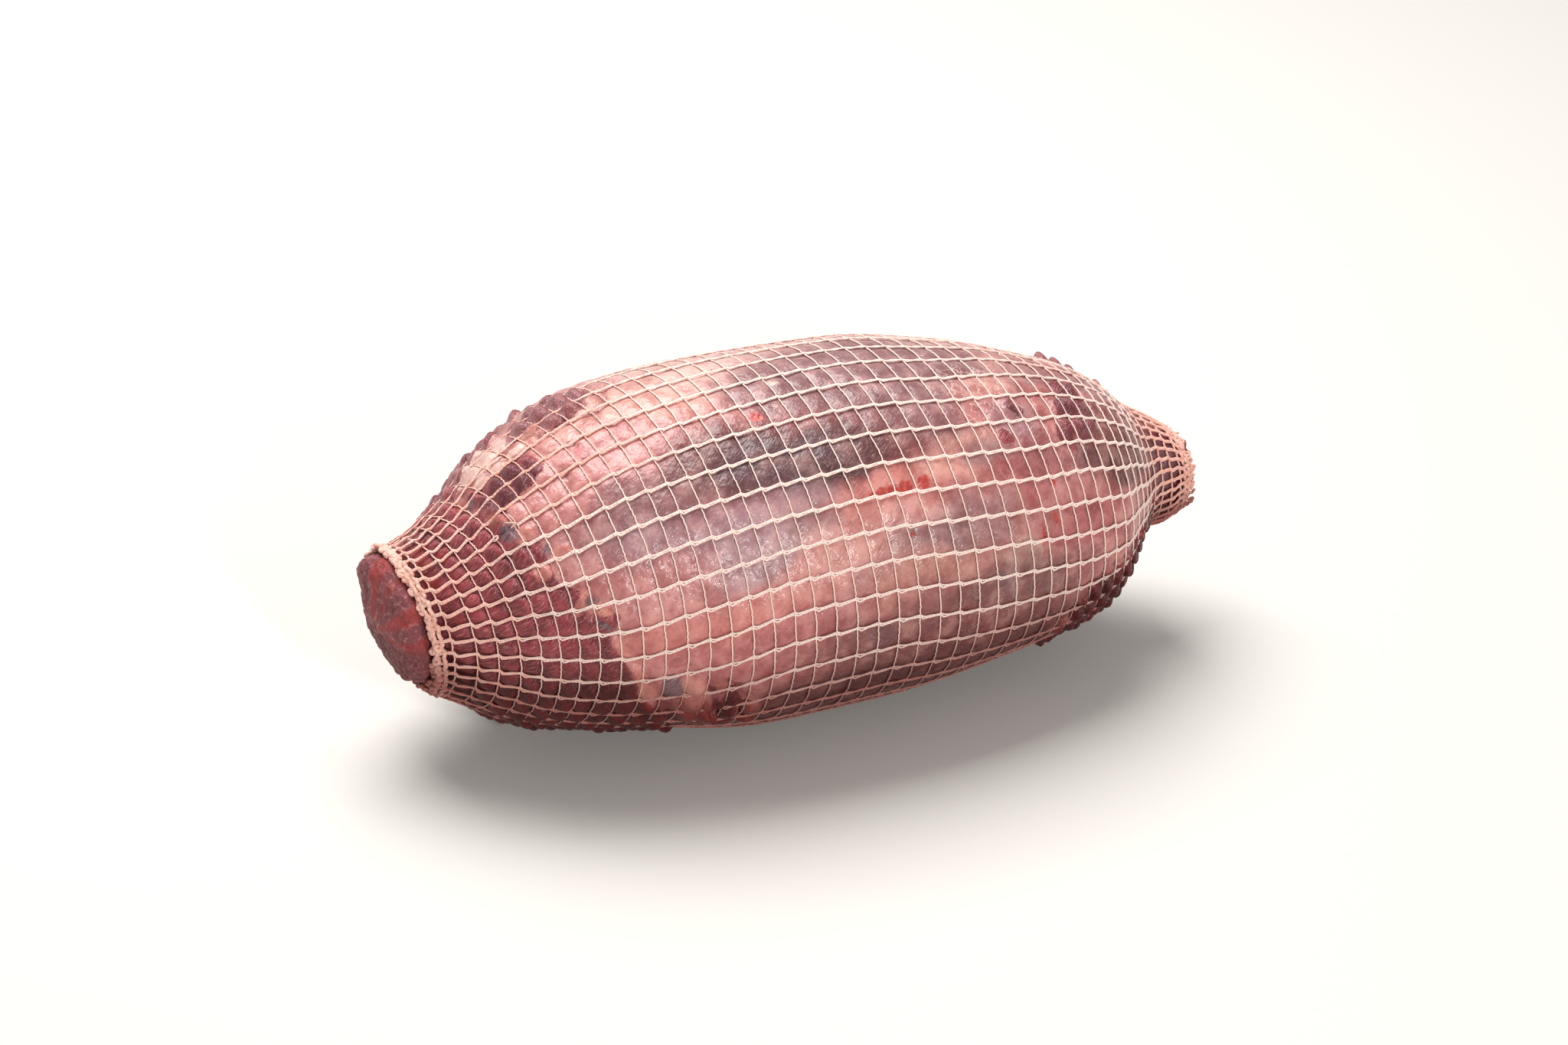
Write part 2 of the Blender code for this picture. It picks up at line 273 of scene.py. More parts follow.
    def point(self, ring_x: Array, angle: Array, depth: Array) -> Array:
        """Place points on the body, moved outward by a depth.

        Args:
            ring_x: X of the leaning ring plane that holds each point.
            angle: Angle around the body in degrees, 90 at the top.
            depth: Distance outward from the body's surface.

        Returns:
            One row of X, Y and Z for each point.
        """
        turn = np.radians(angle)
        side_lean = self.read(self.ring_lean, ring_x, 1)
        up_lean = self.read(self.ring_lean, ring_x, 2)
        x = np.array(ring_x, float)
        down = np.where(np.sin(turn) < 0, self.rest_sink, 0.0)
        for _ in range(3):
            half = self.read(self.sections, x, 1)
            middle = self.read(self.sections, x, 2)
            share = np.minimum(1.0, np.abs(x) / self.half_length)
            wide = half * (1.0 + self.extra_width * (1.0 - share**4))
            y = self.read(self.sections, x, 3) + (wide + depth) * np.cos(turn)
            rise = (half + depth + down) * np.sin(turn)
            x = ring_x + y * side_lean + rise * up_lean
        return np.stack([x, y, middle + rise], axis=-1)

    def chain_angle(self, chain: Array, ring_x: Array) -> Array:
        """Give the angle where a chain crosses a ring, drift included."""
        start = self.first_chain_angle + chain * 360.0 / self.chains
        x = self.point(ring_x, start, np.zeros_like(start))[:, 0]
        folded = np.where(start >= self.drift_angles[0], start, start + 360.0)
        count = len(self.drift_angles)
        drifts = np.stack([self.read(self.chain_drift, x, c) for c in range(1, count + 1)])
        return start + hermite(self.drift_angles, drifts, folded)

    def on_body(self, ring: Array, chain: Array, depth: Array | float) -> Array:
        """Place points by ring and chain number, moved outward by a depth."""
        ring_x = self.ring_x(ring)
        angle = self.chain_angle(chain, ring_x)
        return self.point(ring_x, angle, depth + np.zeros_like(ring_x))

    def flare(self, ring: Array, chain: Array) -> Array:
        """Give how far the left cuff stands off the meat under its mouth."""
        ring_x = self.ring_x(ring)
        angle = self.chain_angle(chain, ring_x)
        reach = np.maximum(0.0, 1.0 - (ring_x - self.left_mouth) / self.flare_length)
        away = turn_between(angle, self.flare_angle) / self.flare_spread
        return self.flare_depth * reach**1.5 * np.exp(-0.7 * away**2)

    def axes(self, ring: Array, chain: Array, depth: Array | float) -> tuple[Array, ...]:
        """Give points with their directions along, around and outward.

        Args:
            ring: Ring numbers.
            chain: Chain numbers.
            depth: Distance outward.

        Returns:
            The points and three unit directions for each.
        """
        here = self.on_body(ring, chain, depth)
        along = unit(self.on_body(ring + 0.1, chain, depth) - self.on_body(ring - 0.1, chain, depth))
        around = unit(self.on_body(ring, chain + 0.1, depth) - self.on_body(ring, chain - 0.1, depth))
        outward = unit(np.cross(along, around))
        middle = here * (1.0, 0.0, 0.0) + (0.0, 0.0, self.middle_height)
        flip = np.sign(np.sum(outward * (here - middle), axis=1, keepdims=True))
        return here, along, around, outward * np.where(flip == 0, 1.0, flip)


class Tissue(Enum):
    """Kinds of raw meat surface, each with its usual colour."""

    ROSE = "#ac6562"
    BLUSH = "#cd8d88"
    PEACH = "#dba295"
    SALMON = "#cb7e75"
    MAUVE = "#926b6d"
    SLATE = "#64484c"
    UMBER = "#72423f"
    VIOLET = "#ad878d"
    OCHRE = "#b57a6e"
    CREAM = "#c29b8e"
    CRIMSON = "#b06462"
    WINE = "#6d2d2d"
    ASH = "#76555a"
    # Painted sheen: a pale wash standing in for highlights, not a tissue.
    PALE = "#e4c2b9"


class Mark(Enum):
    """Marks with a ragged edge of their own, held as distance to that edge."""

    LEAN = "lean"
    FAT = "fat"
    TAG = "tag"
    BLOOD = "blood"
    VEIN = "vein"


@dataclass(frozen=True)
class Glaze:
    """One soft-edged area of a tissue, as an ellipse on the unrolled skin."""

    tissue: Tissue
    x: float
    angle: float
    length: float
    spread: float
    turn: float = 0.0
    strength: float = 1.0
    softness: float = 0.45


@dataclass(frozen=True)
class Spot:
    """One ragged-edged mark, as an ellipse on the unrolled skin."""

    mark: Mark
    x: float
    angle: float
    length: float
    spread: float
    turn: float = 0.0


@dataclass(frozen=True)
class Crease:
    """A fold line in the skin through points of X and angle."""

    line: tuple[tuple[float, float], ...]
    width: float
    depth: float


def ellipse_reach(x: Array, angle: Array, area: Glaze | Spot) -> Array:
    """Give each place's distance from an area's middle, 1 at its edge.

    Args:
        x: X along the roast.
        angle: Angle around it; a degree is about a millimetre of skin.
        area: Ellipse with its half length, half spread and turn.

    Returns:
        Distance as a share of the ellipse's own radius.
    """
    turn = math.radians(area.turn)
    along = x - area.x
    aside = turn_between(angle, area.angle)
    first = along * math.cos(turn) + aside * math.sin(turn)
    second = aside * math.cos(turn) - along * math.sin(turn)
    return np.hypot(first / area.length, second / area.spread)


T = Tissue
GLAZES: tuple[Glaze, ...] = (
    # Hidden side and underside: even rose membrane with darker lean behind it.
    Glaze(T.WINE, 0.0, 262.0, 105.0, 40.0, 0, 0.75, 0.5),
    Glaze(T.MAUVE, 20.0, 20.0, 90.0, 34.0, 0, 0.6, 0.5),
    Glaze(T.BLUSH, -30.0, 330.0, 60.0, 26.0, 0, 0.6, 0.5),
    Glaze(T.SLATE, 30.0, 350.0, 40.0, 14.0, 8, 0.6, 0.5),
    # Top of the roast: thin pale fat under the membrane, with painted sheen where the top light grazes it.
    Glaze(T.BLUSH, 0.0, 66.0, 95.0, 14.0, 0, 0.7, 0.5),
    Glaze(T.PALE, 14.0, 66.0, 92.0, 16.0, 0, 0.7, 0.6),
    Glaze(T.PEACH, -42.0, 88.0, 27.0, 17.0, -4, 0.95, 0.5),
    Glaze(T.PALE, -28.0, 82.0, 22.0, 12.0, -4, 0.6, 0.6),
    Glaze(T.PEACH, -72.0, 92.0, 16.0, 9.0, -20, 0.9, 0.35),
    Glaze(T.BLUSH, -82.0, 111.0, 26.0, 14.0, 4, 0.95, 0.35),
    Glaze(T.BLUSH, -62.0, 110.0, 20.0, 10.0, 0, 0.6, 0.5),
    Glaze(T.MAUVE, 28.0, 95.0, 46.0, 21.0, 0, 0.95, 0.4),
    Glaze(T.MAUVE, -12.0, 100.0, 16.0, 12.0, 0, 0.7, 0.5),
    # Wide dark band where silverskin lies over deep lean.
    Glaze(T.BLUSH, -88.0, 143.0, 12.0, 14.0, 0, 0.9, 0.5),
    Glaze(T.MAUVE, -62.0, 134.0, 26.0, 13.0, -12, 0.85, 0.5),
    Glaze(T.UMBER, -38.0, 121.0, 14.0, 12.0, 0, 0.8, 0.5),
    Glaze(T.SLATE, -12.0, 128.0, 31.0, 13.0, 3, 0.98, 0.5),
    Glaze(T.SLATE, -20.0, 124.0, 12.0, 10.0, 0, 0.4, 0.5),
    Glaze(T.UMBER, 18.0, 127.0, 16.0, 8.0, 0, 0.85, 0.5),
    Glaze(T.SLATE, 2.0, 126.5, 17.0, 7.0, 2, 0.5, 0.5),
    Glaze(T.ASH, 16.0, 114.0, 18.0, 8.0, 0, 0.4, 0.5),
    Glaze(T.MAUVE, 38.0, 118.0, 15.0, 12.0, 0, 0.8, 0.4),
    Glaze(T.UMBER, 46.0, 128.0, 9.0, 5.0, 0, 0.6, 0.5),
    Glaze(T.VIOLET, -16.0, 141.0, 28.0, 6.0, 2, 0.6, 0.5),
    # Violet sheen below it.
    Glaze(T.VIOLET, -38.0, 152.0, 21.0, 14.0, -6, 0.95, 0.45),
    Glaze(T.VIOLET, -66.0, 146.0, 12.0, 10.0, 0, 0.6, 0.5),
    Glaze(T.MAUVE, -12.0, 149.0, 12.0, 6.0, 0, 0.7, 0.4),
    # Salmon fat in a slanting band and around the blood streak.
    Glaze(T.SALMON, 16.0, 142.5, 20.0, 8.5, -4, 0.9, 0.4),
    Glaze(T.SALMON, 5.0, 152.0, 12.0, 9.0, -20, 0.95, 0.35),
    Glaze(T.SALMON, -12.0, 161.0, 13.0, 9.0, -25, 0.95, 0.35),
    Glaze(T.SALMON, -30.0, 169.0, 20.0, 7.0, -12, 0.95, 0.4),
    Glaze(T.SALMON, -56.0, 176.0, 24.0, 9.0, -10, 0.8, 0.4),
    Glaze(T.BLUSH, -62.0, 162.0, 18.0, 9.0, -8, 0.8, 0.45),
    Glaze(T.BLUSH, 20.0, 149.0, 13.0, 5.5, 0, 0.7, 0.45),
    # Painted highlight where the front light reflects off the wet skin.
    Glaze(T.PALE, 12.0, 158.0, 42.0, 14.0, 0, 0.3, 0.7),
    Glaze(T.PEACH, 44.0, 134.0, 18.0, 6.0, -10, 0.75, 0.45),
    # Right half: fibrous peach, ochre and grey patches.
    Glaze(T.SALMON, 57.0, 113.0, 12.0, 10.0, -30, 0.3, 0.5),
    Glaze(T.VIOLET, 66.0, 121.0, 8.0, 9.0, -20, 0.7, 0.6),
    Glaze(T.MAUVE, 53.0, 134.0, 10.0, 4.0, 0, 0.8, 0.5),
    Glaze(T.PEACH, 66.0, 104.0, 13.0, 5.0, -25, 0.6, 0.45),
    Glaze(T.PEACH, 75.0, 92.0, 10.0, 6.0, 0, 0.7, 0.45),
    Glaze(T.MAUVE, 85.0, 96.0, 14.0, 9.0, 0, 0.6, 0.45),
    Glaze(T.MAUVE, 76.0, 137.0, 14.0, 8.0, 0, 0.25, 0.45),
    Glaze(T.ASH, 24.0, 158.0, 14.0, 6.0, 0, 0.55, 0.45),
    Glaze(T.OCHRE, 14.0, 171.0, 12.0, 9.0, 0, 0.7, 0.45),
    Glaze(T.OCHRE, 31.0, 168.0, 15.0, 6.5, 0, 0.85, 0.4),
    Glaze(T.MAUVE, 42.0, 155.0, 16.0, 10.0, 0, 0.7, 0.45),
    Glaze(T.CREAM, 58.0, 171.0, 11.0, 5.5, 2, 0.85, 0.35),
    Glaze(T.CREAM, 64.0, 173.0, 4.0, 4.5, 0, 0.7, 0.35),
    Glaze(T.CRIMSON, 88.0, 166.0, 15.0, 12.0, 4, 0.75, 0.5),
    Glaze(T.CRIMSON, 64.0, 149.0, 5.0, 6.0, 0, 0.55, 0.45),
    Glaze(T.BLUSH, 82.0, 147.0, 14.0, 6.0, 0, 0.6, 0.45),
    Glaze(T.BLUSH, 108.0, 164.0, 8.0, 10.0, 0, 0.65, 0.45),
    Glaze(T.UMBER, 58.0, 183.0, 34.0, 10.0, 2, 0.9, 0.5),
    Glaze(T.ASH, 52.0, 181.0, 4.0, 5.0, 0, 0.6, 0.4),
    Glaze(T.ASH, 98.0, 138.0, 14.0, 6.0, 8, 0.8, 0.5),
    Glaze(T.ASH, 107.0, 148.0, 8.0, 7.0, 30, 0.8, 0.4),
    Glaze(T.UMBER, 104.0, 122.0, 16.0, 12.0, 0, 0.7, 0.5),
    Glaze(T.UMBER, 108.0, 140.0, 16.0, 14.0, 0, 0.8, 0.5),
    Glaze(T.MAUVE, 108.0, 96.0, 16.0, 13.0, 0, 0.8, 0.45),
    Glaze(T.ASH, 128.0, 150.0, 9.0, 44.0, 0, 0.85, 0.4),
    # Lower side: rose going down into wine red.
    Glaze(T.CRIMSON, -38.0, 184.0, 26.0, 9.0, -6, 0.55, 0.45),
    Glaze(T.ROSE, -30.0, 196.0, 26.0, 12.0, 0, 0.7, 0.45),
    Glaze(T.UMBER, 10.0, 192.0, 30.0, 11.0, 3, 0.75, 0.45),
    Glaze(T.SLATE, 7.0, 187.0, 5.0, 4.5, 0, 0.45, 0.45),
    Glaze(T.WINE, 52.0, 200.0, 36.0, 13.0, 4, 0.8, 0.5),
    Glaze(T.UMBER, 0.0, 208.0, 34.0, 9.0, 2, 0.85, 0.45),
    Glaze(T.ROSE, 90.0, 184.0, 14.0, 6.0, 0, 0.7, 0.45),
    Glaze(T.OCHRE, -13.0, 208.0, 4.0, 3.0, 0, 0.45, 0.5),
)

M = Mark
SPOTS: tuple[Spot, ...] = (
    # Lean that shows away from the two lean ends.
    Spot(M.LEAN, -78.0, 76.0, 14.0, 12.0, 0),
    Spot(M.LEAN, -98.0, 101.0, 10.0, 9.5, -10),
    Spot(M.LEAN, -108.0, 92.0, 2.2, 8.0, -6),
    Spot(M.LEAN, -91.0, 161.0, 4.5, 6.0, 20),
    Spot(M.LEAN, -83.0, 169.0, 5.0, 5.0, 30),
    Spot(M.LEAN, -44.0, 209.0, 4.5, 8.5, 6),
    Spot(M.LEAN, 91.0, 119.0, 7.0, 10.5, 0),
    Spot(M.LEAN, 92.0, 104.0, 4.0, 6.0, 0),
    Spot(M.LEAN, 84.0, 130.0, 3.0, 8.0, -8),
    Spot(M.LEAN, 67.0, 117.0, 2.6, 3.4, -30),
    Spot(M.LEAN, 60.5, 129.0, 1.6, 2.2, 0),
    Spot(M.LEAN, 103.5, 62.0, 8.0, 8.0, 0),
    Spot(M.LEAN, 118.0, 64.0, 3.5, 7.0, 0),
    Spot(M.LEAN, 132.0, 116.0, 4.0, 9.0, 0),
    # Fat: cream tags at the top left, a rim along the lean, lumps below.
    Spot(M.TAG, -101.0, 76.0, 8.5, 9.0, -6),
    Spot(M.TAG, -93.0, 86.5, 3.2, 2.2, 0),
    Spot(M.TAG, -104.0, 88.0, 2.0, 4.0, -20),
    Spot(M.TAG, -99.0, 88.0, 3.2, 2.2, 30),
    Spot(M.FAT, -87.5, 85.0, 3.5, 6.0, 25),
    Spot(M.FAT, -100.5, 127.0, 3.6, 3.4, 0),
    Spot(M.FAT, -104.5, 116.0, 1.3, 6.5, -18),
    Spot(M.FAT, -97.5, 145.0, 2.6, 3.6, 0),
    Spot(M.FAT, -91.0, 139.5, 3.4, 3.0, 0),
    Spot(M.FAT, -88.0, 160.0, 2.0, 6.0, 26),
    Spot(M.FAT, -82.5, 164.0, 5.0, 2.2, 20),
    Spot(M.FAT, -77.5, 181.0, 1.6, 6.0, -26),
    Spot(M.FAT, -72.8, 192.0, 1.8, 6.5, -22),
    Spot(M.FAT, -69.0, 202.0, 2.8, 6.0, -14),
    Spot(M.FAT, -54.0, 203.0, 5.0, 9.0, -16),
    Spot(M.FAT, -51.0, 215.0, 5.5, 10.0, -10),
    Spot(M.FAT, -35.5, 213.0, 4.2, 9.0, -12),
    Spot(M.FAT, 80.0, 213.0, 3.4, 7.5, 0),
    Spot(M.TAG, -8.5, 97.0, 1.5, 1.1, 0),
    # Blood marks.
    Spot(M.BLOOD, -20.5, 110.2, 2.3, 1.9, 0),
    Spot(M.BLOOD, 15.0, 141.6, 7.0, 1.7, -4),
    Spot(M.BLOOD, 19.5, 141.8, 3.6, 2.2, 0),
    Spot(M.BLOOD, 26.3, 141.0, 2.0, 2.4, 30),
    Spot(M.BLOOD, 66.9, 167.5, 0.9, 3.8, 4),
    Spot(M.BLOOD, 72.8, 161.0, 0.8, 2.8, -24),
    Spot(M.BLOOD, 65.2, 150.5, 0.7, 2.6, 20),
    Spot(M.BLOOD, 73.6, 147.0, 0.8, 1.6, 0),
    Spot(M.BLOOD, -76.3, 104.5, 0.8, 3.6, 12),
    Spot(M.BLOOD, 19.0, 156.5, 0.7, 0.7, 0),
    Spot(M.BLOOD, -63.0, 152.0, 0.6, 0.9, 0),
    # Cut veins and dark vessels.
    Spot(M.VEIN, -94.5, 137.0, 1.2, 2.6, 10),
    Spot(M.VEIN, -85.2, 160.6, 1.9, 1.5, 0),
    Spot(M.VEIN, -82.0, 171.0, 3.4, 1.2, 40),
    Spot(M.VEIN, -103.5, 124.0, 2.2, 4.6, -20),
    Spot(M.VEIN, -62.0, 199.0, 3.0, 5.4, -12),
    Spot(M.VEIN, -109.5, 94.0, 1.4, 4.0, 0),
    Spot(M.VEIN, 50.5, 177.0, 0.8, 2.2, 10),
)

CREASES: tuple[Crease, ...] = (
    Crease(((-71.0, 106.5), (-67.0, 105.5), (-63.5, 102.5), (-62.5, 98.0)), 0.9, 0.8),
    Crease(((-83.5, 110.0), (-82.0, 114.0), (-83.5, 119.0)), 1.0, 0.7),
    Crease(((-78.5, 99.5), (-75.6, 103.0), (-74.8, 107.0), (-77.0, 110.5)), 0.8, 0.7),
    Crease(((-84.0, 88.5), (-76.0, 88.0), (-69.0, 84.0), (-65.0, 77.0), (-63.0, 66.0)), 1.6, 1.5),
    Crease(((-66.0, 92.0), (-62.0, 86.0), (-58.0, 76.0)), 1.0, 0.9),
    Crease(((-72.0, 93.0), (-67.5, 89.5)), 0.8, 0.7),
    Crease(((-49.0, 200.0), (-47.0, 209.0), (-44.0, 218.0)), 1.4, 1.6),
    Crease(((-41.0, 201.0), (-38.0, 210.0), (-36.5, 219.0)), 1.2, 1.4),
    Crease(((-64.0, 205.0), (-60.0, 215.0), (-56.0, 226.0)), 1.6, 1.4),
    Crease(((86.0, 194.0), (82.5, 204.0), (81.5, 213.0)), 1.6, 1.4),
    Crease(((87.0, 193.0), (97.0, 188.0), (108.0, 186.0)), 1.2, 1.0),
    Crease(((92.0, 138.0), (103.0, 144.0), (112.0, 154.0), (120.0, 170.0)), 5.0, 1.6),
    Crease(((-46.0, 196.0), (-41.0, 198.5), (-38.0, 204.0)), 1.0, 0.8),
)


def feed(node: bpy.types.Node, inputs: Inputs) -> None:
    """Link or set a node's inputs.

    Args:
        node: Node to feed.
        inputs: Sockets, values or hex colours, in order or by name or number.
    """
    named = inputs if isinstance(inputs, dict) else dict(enumerate(inputs))
    for name, given in named.items():
        if isinstance(given, bpy.types.NodeSocket):
            node.id_data.links.new(given, node.inputs[name])
        else:
            node.inputs[name].default_value = linear(given) if isinstance(given, str) else given


def add_node(
    tree: bpy.types.NodeTree,
    kind: str,
    inputs: Inputs = (),
    output: str | int = 0,
    **settings: object,
) -> bpy.types.NodeSocket:
    """Add one node with its settings and links.

    Args:
        tree: Material's node tree.
        kind: Blender's name of the node, after its "ShaderNode".
        inputs: What feeds it, in order or by name or number.
        output: Name or number of the output that is used.
        settings: The node's own properties.

    Returns:
        That output.
    """
    node = tree.nodes.new(f"ShaderNode{kind}")
    for name, value in settings.items():
        setattr(node, name, value)
    feed(node, inputs)
    return node.outputs[output]


def blotches(where: bpy.types.NodeSocket, size_mm: float, detail: float) -> dict[str, object]:
    """Give what feeds a noise whose blotches are about a size in mm."""
    return {"Vector": where, "Scale": 1.0 / (size_mm * MM), "Detail": detail, "Roughness": 0.55}


def weighted(
    tree: bpy.types.NodeTree, start: object, *terms: tuple[object, object]
) -> bpy.types.NodeSocket:
    """Add up patterns, each times its weight, onto a start."""
    total = start
    for pattern, weight in terms:
        total = add_node(tree, "Math", (pattern, weight, total), operation="MULTIPLY_ADD")
    return total


def lay_over(
    tree: bpy.types.NodeTree,
    below: object,
    over: object,
    pattern: object,
    reach: tuple[float, float] | None = None,
    most: object = 1.0,
    way: str = "MIX",
) -> bpy.types.NodeSocket:
    """Lay one colour over another where a pattern says.

    Args:
        tree: Material's node tree.
        below: Colour below, a socket or hex code.
        over: Colour that is laid over it.
        pattern: What decides where it shows.
        reach: Pattern values where it starts to show and where it shows most.
        most: Its share there.
        way: Blender's name for the way of mixing.

    Returns:
        The mixed colour.
    """
    share = pattern
    if reach is not None:
        share = add_node(tree, "MapRange", (pattern, *reach, 0.0, most), **SMOOTH)
    elif most != 1.0:
        share = add_node(tree, "Math", (pattern, most), operation="MULTIPLY")
    inputs = {0: share, 6: below, 7: over}
    return add_node(tree, "Mix", inputs, 2, data_type="RGBA", blend_type=way)


def new_material(name: str) -> bpy.types.Material:
    """Start a node material with its default shader."""
    material = bpy.data.materials.new(name)
    material.use_nodes = True
    return material


@dataclass(frozen=True)
class RawMeatFinish:
    """Raw game meat: wet muscle under thin silverskin and fat.

    Light sinks a few millimetres in and comes out red, and a film of juice
    gives small sharp highlights over every fold.
    """

    name: str = "raw_meat_wet"
    deep_lean: str = "#6e2329"
    lean: str = "#a44046"
    shaded_lean: str = "#57272f"
    lean_fibre_sheen: str = "#d09290"
    lean_bright: str = "#a03a36"
    torn_lean: str = "#7d474a"
    pale_lean: str = "#985f60"
    fat: str = "#d29082"
    fat_edge: str = "#b4655b"
    tag: str = "#ebcfc2"
    tag_edge: str = "#dcb0a4"
    blood: str = "#c44a3e"
    blood_deep: str = "#a03430"
    vein: str = "#54404a"
    vein_wall: str = "#83686e"
    crease: str = "#8a4644"
    tendon: str = "#f0d2c6"
    # Multiplied over the underside: partly juice-soaked lean, partly painted shade.
    underside: str = "#8a3a3a"
    thin_fat: str = "#efb9ab"
    dusk: str = "#c49a99"
    mottle: str = "#c48e88"
    speck: str = "#bf8c8a"
    pale_fibre: str = "#f0cfc6"
    juice_ior: float = 1.35
    roughness: float = 0.32
    film: float = 0.6
    light_depth_mm: float = 1.5
    bump_mm: float = 0.55
    ragged_mm: float = 3.4
    fibre_slant: float = math.radians(-44.0)

    def patterns(self, tree: bpy.types.NodeTree) -> dict[str, bpy.types.NodeSocket]:
        """Read the mesh's own attributes and add the noises, each by name."""
        add, weigh = partial(add_node, tree), partial(weighted, tree)
        place = add("TexCoord", output="Object")
        skin = add("UVMap", uv_map="skin_mm")
        # Muscle fibres run slantwise over the skin and are five times as long as wide.
        slant = {"Vector": skin, "Rotation": (0.0, 0.0, self.fibre_slant), "Scale": (5.0, 1.0, 1.0)}
        along_fibres = add("Mapping", slant, vector_type="TEXTURE")
        at = {"glaze": add("Attribute", output="Color", attribute_name="glaze")}
        for name in ("plug", "pale", "deep", "red", "fold", "under", "stringy", *(m.value for m in Mark)):
            at[name] = add("Attribute", output="Fac", attribute_name=name)
        for name, where, size_mm, detail in (
            ("strand", along_fibres, 0.6, 3.0),
            ("fine", place, 1.4, 3.0),
            ("grain", place, 1.5, 2.5),
            ("torn", place, 1.6, 4.0),
            ("ragged", place, 2.4, 4.0),
            ("wrinkle", place, 3.5, 2.0),
            ("string", place, 5.0, 2.0),
            ("blotch", place, 7.0, 3.0),
            ("patch", place, 12.0, 1.0),
        ):
            at[name] = add("TexNoise", blotches(where, size_mm, detail))
        # On the torn cut ends, crumbs take the place of the fibres.
        whole = weigh(1.0, (at["plug"], -1.0))
        at["fibre"] = weigh(0.0, (at["strand"], whole), (at["torn"], at["plug"]))
        # Loose strings of tendon, 0.3 mm thick, lie where a noise crosses its middle.
        off_middle = add("Math", (at["string"], 0.5), operation="SUBTRACT")
        near = add("Math", (off_middle,), operation="ABSOLUTE")
        string = add("MapRange", (near, 0.0, 0.03, 0.6, 0.0), **SMOOTH)
        patch = add("MapRange", (at["patch"], 0.5, 0.62, 0.0, 0.2), **SMOOTH)
        at["tendon"] = weigh(0.0, (string, weigh(at["stringy"], (patch, 1.0))))
        return at

    def cut(
        self,
        tree: bpy.types.NodeTree,
        at: dict[str, bpy.types.NodeSocket],
        mark: Mark,
        width: float,
    ) -> bpy.types.NodeSocket:
        """Cut one mark's distance field at its ragged edge.

        Args:
            tree: Material's node tree.
            at: Patterns by name.
            mark: The mark.
            width: Half width in mm of the edge itself.

        Returns:
            1 inside the mark and 0 outside it.
        """
        half = -0.5 * self.ragged_mm
        far = weighted(tree, half, (at[mark.value], 1.0), (at["ragged"], self.ragged_mm))
        return add_node(tree, "MapRange", (far, -width, width, 0.0, 1.0), **SMOOTH)

    def colour(
        self,
        tree: bpy.types.NodeTree,
        at: dict[str, bpy.types.NodeSocket],
        lean_share: bpy.types.NodeSocket,
    ) -> bpy.types.NodeSocket:
        """Lay membrane, lean, fat, veins and blood over one another, with painted shade in the folds,
        beside the yarns and underneath.

        Args:
            tree: Material's node tree.
            at: Patterns by name.
            lean_share: 1 where bare lean shows.

        Returns:
            The surface colour.
        """
        lay = partial(lay_over, tree)
        membrane = at["glaze"]
        for name, reach, most, tint, way in (
            ("blotch", (0.5, 0.68), 0.18, self.thin_fat, "MIX"),
            ("blotch", (0.55, 0.36), 0.5, self.dusk, "MULTIPLY"),
            ("ragged", (0.48, 0.7), 0.3, self.mottle, "MULTIPLY"),
            ("fine", (0.5, 0.72), 0.15, self.speck, "MULTIPLY"),
            ("fibre", (0.55, 0.8), 0.2, self.pale_fibre, "MIX"),
        ):
            membrane = lay(membrane, tint, at[name], reach, most, way)
        membrane = lay(membrane, self.tendon, at["tendon"])
        lean = lay(self.deep_lean, self.lean, at["blotch"], (0.3, 0.7))
        lean = lay(lean, self.torn_lean, at["plug"], most=0.8)
        # Pale slanting fibres, lightened further as painted highlight streaks.
        lean = lay(lean, self.lean_fibre_sheen, at["fibre"], (0.48, 0.78), 0.75)
        lean = lay(lean, self.pale_lean, at["pale"])
        # Painted shade on the lean beside the yarns, and two painted shadow patches.
        lean = lay(lean, self.shaded_lean, at["deep"])
        speckle = add_node(tree, "MapRange", (at["fine"], 0.3, 0.6, 0.5, 1.0), **SMOOTH)
        lean = lay(lean, self.lean_bright, at["red"], most=speckle)
        colour = lay(membrane, lean, lean_share)
        for mark, width, most, dark, light, name, reach in (
            (Mark.FAT, 0.7, 0.85, self.fat_edge, self.fat, "blotch", (0.35, 0.65)),
            (Mark.TAG, 0.6, 0.85, self.tag_edge, self.tag, "blotch", (0.35, 0.65)),
            (Mark.VEIN, 0.6, 0.85, self.vein, self.vein_wall, "fibre", (0.4, 0.65)),
            (Mark.BLOOD, 0.45, 0.9, self.blood_deep, self.blood, "fine", (0.4, 0.65)),
        ):
            marked = lay(dark, light, at[name], reach)
            colour = lay(colour, marked, self.cut(tree, at, mark, width), most=most)
        # Painted shade: the narrow creases are darkened.
        colour = lay(colour, self.crease, at["fold"], most=0.6)
        # Painted shade: the underside is multiplied darker and redder, partly juice-soaked dark lean and
        # partly shade painted into the colour.
        return lay(colour, self.underside, at["under"], way="MULTIPLY")

    def build(self) -> bpy.types.Material:
        """Make the node material."""
        material = new_material(self.name)
        tree = material.node_tree
        add, weigh = partial(add_node, tree), partial(weighted, tree)
        at = self.patterns(tree)
        lean_share = self.cut(tree, at, Mark.LEAN, 0.5)
        smooth, matt = self.roughness - 0.08, self.roughness + 0.16
        rough = add("MapRange", (at["fine"], 0.3, 0.75, smooth, matt), **SMOOTH)
        # The film of juice is thin on the torn ends and wiped off underneath.
        wiped, soaked_up = weigh(0.0, (at["under"], 0.8)), weigh(0.0, (at["plug"], 0.85))
        dry = add("Math", (wiped, soaked_up), operation="MAXIMUM")
